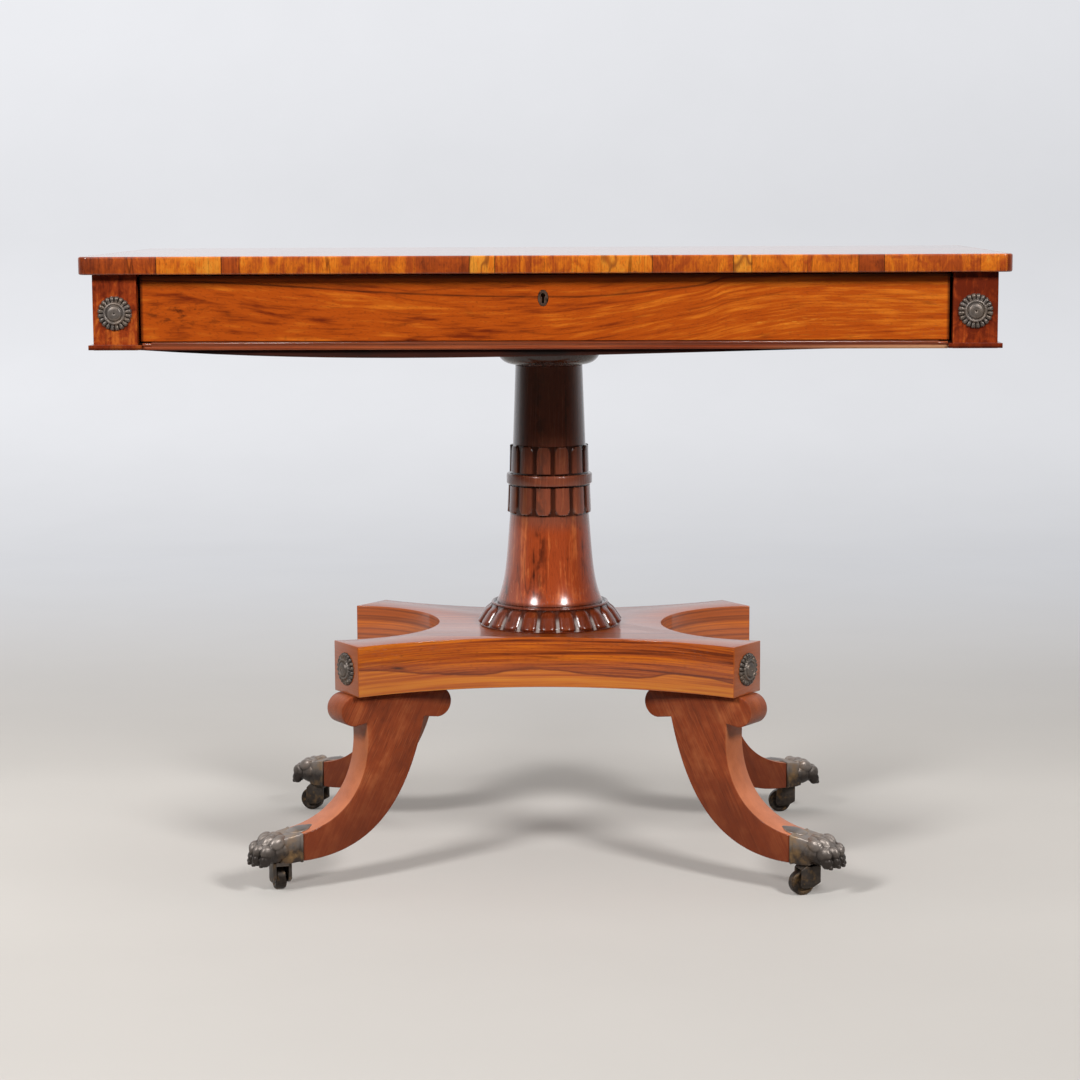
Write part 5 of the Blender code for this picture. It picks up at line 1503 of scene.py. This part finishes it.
class TABLE_OT_rosettes(bpy.types.Operator):
    """Models one stamped rosette and sets it on the posts and the platform's ends"""

    bl_idname = "table.rosettes"
    bl_label = "Rosettes"

    def execute(self, context):
        sizes, colours = settings()
        handled = mount_bronze(colours, "bronze_rosette", 0.12)
        sooty = mount_bronze(colours, "bronze_platform_rosette", 0.0)
        rosette = self.rosette(sizes)
        for i, (node, place) in enumerate(self.places()):
            made = copied(rosette, "table_" + node, place, (0.19 * i, 0.07 * i, 0.0))
            give(made, handled if node.endswith("post") else sooty, "table", "patinated_brass", node)
        remove(rosette)
        return {"FINISHED"}

    def places(self):
        """Each rosette's node and its place on its post or on the end of its arm."""
        upright = Matrix.Rotation(math.radians(90), 4, "X")
        found = []
        for corner, (_, y) in CORNERS.items():
            low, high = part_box(f"rosette_{corner}_post")
            middle = (low + high) / 2
            face = Matrix.Rotation(0 if y < 0 else math.pi, 4, "Z")
            spot = Vector((middle.x, low.y if y > 0 else high.y, middle.z))
            found.append((f"rosette_{corner}_post", Matrix.Translation(spot) @ face @ upright))
            low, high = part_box("platform")
            out = leg_turn(corner)
            spot = out @ Vector((ARM_REACH + GLUE_GAP, 0, 0)) + Vector((0, 0, (low.z + high.z) / 2))
            face = out @ Matrix.Rotation(math.pi / 2, 4, "Z")
            found.append((f"rosette_{corner}_platform", Matrix.Translation(spot) @ face @ upright))
        return found

    def rosette(self, sizes):
        """A sunk eye, a boss and a ring, as shares of the radius and thickness, and petals round them."""
        radius, thick = 0.0193, 0.0062
        heights = (
            (0.00, 0.76), (0.03, 0.76), (0.06, 0.95), (0.12, 1.00), (0.25, 0.99), (0.36, 0.91),
            (0.42, 0.76), (0.455, 0.56), (0.49, 0.56), (0.52, 0.70), (0.56, 0.77), (0.61, 0.73),
            (0.65, 0.56), (0.69, 0.47), (0.76, 0.50), (0.84, 0.52), (0.90, 0.47), (0.95, 0.38),
            (0.98, 0.27), (1.0, 0.10),
        )
        across, up = np.array(heights).T
        rows = np.concatenate([np.linspace(0, 0.62, 30), np.linspace(0.635, 1.0, 24)])
        profile = [(radius * r, thick * float(np.interp(r, across, up))) for r in rows]
        profile += [(radius, 0.0), (0.0, 0.0)]
        made = turn("table_rosette", profile, sizes.rosette_petals * 10)
        place = points_of(made)
        share = np.hypot(place[:, 0], place[:, 1]) / radius
        phase = phases(place, sizes.rosette_petals)
        petal = np.sqrt(np.clip(1 - (np.abs(phase) / 0.5) ** 2.2, 0, 1))
        raised = place[:, 2] > 1e-5
        outer = step(share, 0.60, 0.72) * raised
        place[:, 2] -= outer * thick * 0.42 * (1 - petal)
        place[raised, 2] = np.maximum(place[raised, 2], 0.0003)
        scallop = 1 - 0.075 * step(share, 0.80, 1.0) * (1 - petal)
        place[:, :2] *= scallop[:, None]
        # The outer petals are marked for painted shade, darkest between the petals.
        mark(made, GROOVE_SHADE, outer * (0.50 + 0.50 * (1 - petal)))
        move_points(made, place)
        return smooth(made, 50)


# How light the paper is painted along its way from the front of the floor to the top of the backdrop, as
# painted light and shade for the lamps' falloff
PAPER_LEVELS = (
    (-1.2, 0.78), (-0.80, 0.81), (-0.67, 0.84), (-0.47, 0.90), (-0.24, 0.98), (0.04, 0.98), (0.38, 0.96),
    (0.79, 1.04), (1.31, 0.93), (1.98, 0.86), (2.55, 0.83), (3.13, 0.88), (3.51, 0.93), (4.12, 1.0),
    (4.77, 0.97), (5.25, 0.94), (5.79, 0.98), (6.27, 1.02), (6.6, 1.03),
)


class TABLE_OT_stage(bpy.types.Operator):
    """Sets up the pale floor and backdrop, the soft lights and the camera"""

    bl_idname = "table.stage"
    bl_label = "Stage"

    def execute(self, context):
        colours = settings()[1]
        self.sweep(colours)
        self.lights()
        self.air(colours)
        self.camera()
        context.scene.view_settings.view_transform = "Standard"
        return {"FINISHED"}

    def sweep(self, colours):
        """Floor and backdrop in one sheet, with a wide cove between them."""
        cove, wall, rise, wide = 2.4, 5.2, 6.0, 9.0
        side = [(-wide, -7.0, 0.0), (-wide, wall - cove, 0.0)]
        side += [(-wide, wall - cove + y, z) for y, z in arc((0, cove), cove, -90, 0, 40)[1:]]
        side += [(-wide, wall, rise)]
        made = draw("studio_sweep", side)
        pull((2 * wide, 0, 0))
        tidy()
        smooth(made, 60)
        self.paper(made, colours)

    def paper(self, made, colours):
        """Pale paper with painted light and shade: lighter and darker along its way, and darker to the
        right.
        """
        finish = Finish("studio_paper")
        x, y, z = finish.place()
        paper = finish.point(x, y, z).cloud(3.0, 4.0, 0.6)
        far = y.rise(0.3, 2.6)
        shade = finish.tint(far, colours.floor, colours.wall)
        first, last, brightest = PAPER_LEVELS[0][0], PAPER_LEVELS[-1][0], 1.5
        knots = [((way - first) / (last - first), level / brightest) for way, level in PAPER_LEVELS]
        fall = (y + z).share(first, last).curve(*knots)
        sideways = (x - 0.09) / (y + 3.12).most(1.6)
        sideways = sideways.most(-0.5).least(0.5)
        lit = 1.0 - sideways * 0.28
        speck = paper.spread(1.46, 1.54) * fall * lit
        shade = shade.tint(1.0, finish.point(speck, speck, speck), "MULTIPLY")
        glossy = finish.add("ShaderNodeLightPath", {}, "Is Glossy Ray")
        seen = finish.add("ShaderNodeLightPath", {}, "Is Camera Ray").most(glossy)
        level = seen.pick(0.25, 1.0)
        soaked = shade.tint(1.0, finish.point(level, level, level), "MULTIPLY")
        finish.done(Base_Color=soaked, Roughness=0.85, Specular_IOR_Level=0.2)
        glow = finish.add("ShaderNodeEmission", {"Color": shade, "Strength": 1.0})
        even = seen * far.spread(0.15, 1.0)
        lit_paper = Value(finish, finish.shader.outputs[0])
        shown = finish.add("ShaderNodeMixShader", {0: even, 1: lit_paper, 2: glow})
        dim = finish.add("ShaderNodeEmission", {"Color": shade, "Strength": 0.03})
        front = glossy * y.rise(-0.9, -2.0)
        mixed = finish.add("ShaderNodeMixShader", {0: front, 1: shown, 2: dim})
        finish.feed(finish.tree.nodes["Material Output"].inputs["Surface"], mixed)
        made.data.materials.append(finish.material)

    def lights(self):
        """Two keys in front and a wide soft light overhead."""
        for name, spot, target, size, power in (
            ("key_left", (-2.4, -3.1, 3.0), (0.0, 0.0, 0.45), (0.9, 1.1), 142.0),
            ("key_right", (2.4, -3.1, 3.0), (0.0, 0.0, 0.45), (0.9, 1.1), 142.0),
            ("overhead", (0.0, 0.6, 3.8), (0.0, 0.0, 0.0), (3.6, 3.0), 45.0),
        ):
            lamp = bpy.data.lights.new(name, "AREA")
            lamp.shape = "RECTANGLE"
            lamp.size, lamp.size_y = size
            lamp.energy = power
            made = bpy.data.objects.new(name, lamp)
            bpy.context.scene.collection.objects.link(made)
            made.location = spot
            made.rotation_euler = (Vector(target) - Vector(spot)).to_track_quat("-Z", "Y").to_euler()
            made.visible_camera = False

    def air(self, colours):
        """Light from the pale room above and behind; the room in front of the table is dim."""
        world = bpy.data.worlds.new("studio_air")
        world.use_nodes = True
        bpy.context.scene.world = world
        tree = Tree(world.node_tree)
        y, z = tree.place("Generated")[1:]
        behind = y.rise(-0.35, 0.55)
        over = z.rise(0.7, 1.0) * 0.6
        level = behind.most(over).spread(0.02, 0.45)
        seen = tree.add("ShaderNodeBackground", {"Color": colours.wall, "Strength": 1.0})
        air = tree.add("ShaderNodeBackground", {"Color": (1.0, 1.0, 1.0, 1.0), "Strength": level})
        path = tree.add("ShaderNodeLightPath", {}, "Is Camera Ray")
        mixed = tree.add("ShaderNodeMixShader", {0: path, 1: air, 2: seen})
        tree.feed(tree.tree.nodes["World Output"].inputs[0], mixed)

    def camera(self):
        """The camera, at the photograph's place, pan, tilt and roll."""
        place, pan, tilt, roll = (0.0888, -3.1164, 0.7947), 0.0322, 0.1315, -0.0045
        data = bpy.data.cameras.new("photograph")
        data.sensor_width = 36.0
        data.lens = 86.667
        made = bpy.data.objects.new("photograph", data)
        bpy.context.scene.collection.objects.link(made)
        made.matrix_world = (
            Matrix.Translation(place)
            @ Matrix.Rotation(pan, 4, "Z")
            @ Matrix.Rotation(math.pi / 2 - tilt, 4, "X")
            @ Matrix.Rotation(roll, 4, "Z")
        )
        bpy.context.scene.camera = made


PIECES = (
    TABLE_OT_top,
    TABLE_OT_frieze,
    TABLE_OT_drawer,
    TABLE_OT_lock,
    TABLE_OT_column,
    TABLE_OT_platform,
    TABLE_OT_legs,
    TABLE_OT_paws,
    TABLE_OT_casters,
    TABLE_OT_rosettes,
    TABLE_OT_stage,
)


class TABLE_PT_panel(bpy.types.Panel):
    """Lists the pieces of the table with their sizes and colours"""

    bl_idname = "TABLE_PT_panel"
    bl_label = "Pedestal table"
    bl_space_type = "VIEW_3D"
    bl_region_type = "UI"
    bl_category = "Table"

    def draw(self, context):
        for piece in PIECES:
            self.layout.operator(piece.bl_idname)
        for group in (context.scene.table_sizes, context.scene.table_colours):
            box = self.layout.box()
            for name in group.__annotations__:
                box.prop(group, name)


CLASSES = (TableSizes, TableColours) + PIECES + (TABLE_PT_panel,)


def register():
    for made in CLASSES:
        bpy.utils.register_class(made)
    bpy.types.Scene.table_sizes = bpy.props.PointerProperty(type=TableSizes)
    bpy.types.Scene.table_colours = bpy.props.PointerProperty(type=TableColours)


def unregister():
    del bpy.types.Scene.table_colours
    del bpy.types.Scene.table_sizes
    for made in reversed(CLASSES):
        bpy.utils.unregister_class(made)


def main():
    register()
    for piece in PIECES:
        group, name = piece.bl_idname.split(".")
        getattr(getattr(bpy.ops, group), name)()
    clear_selection()


if __name__ == "__main__":
    main()
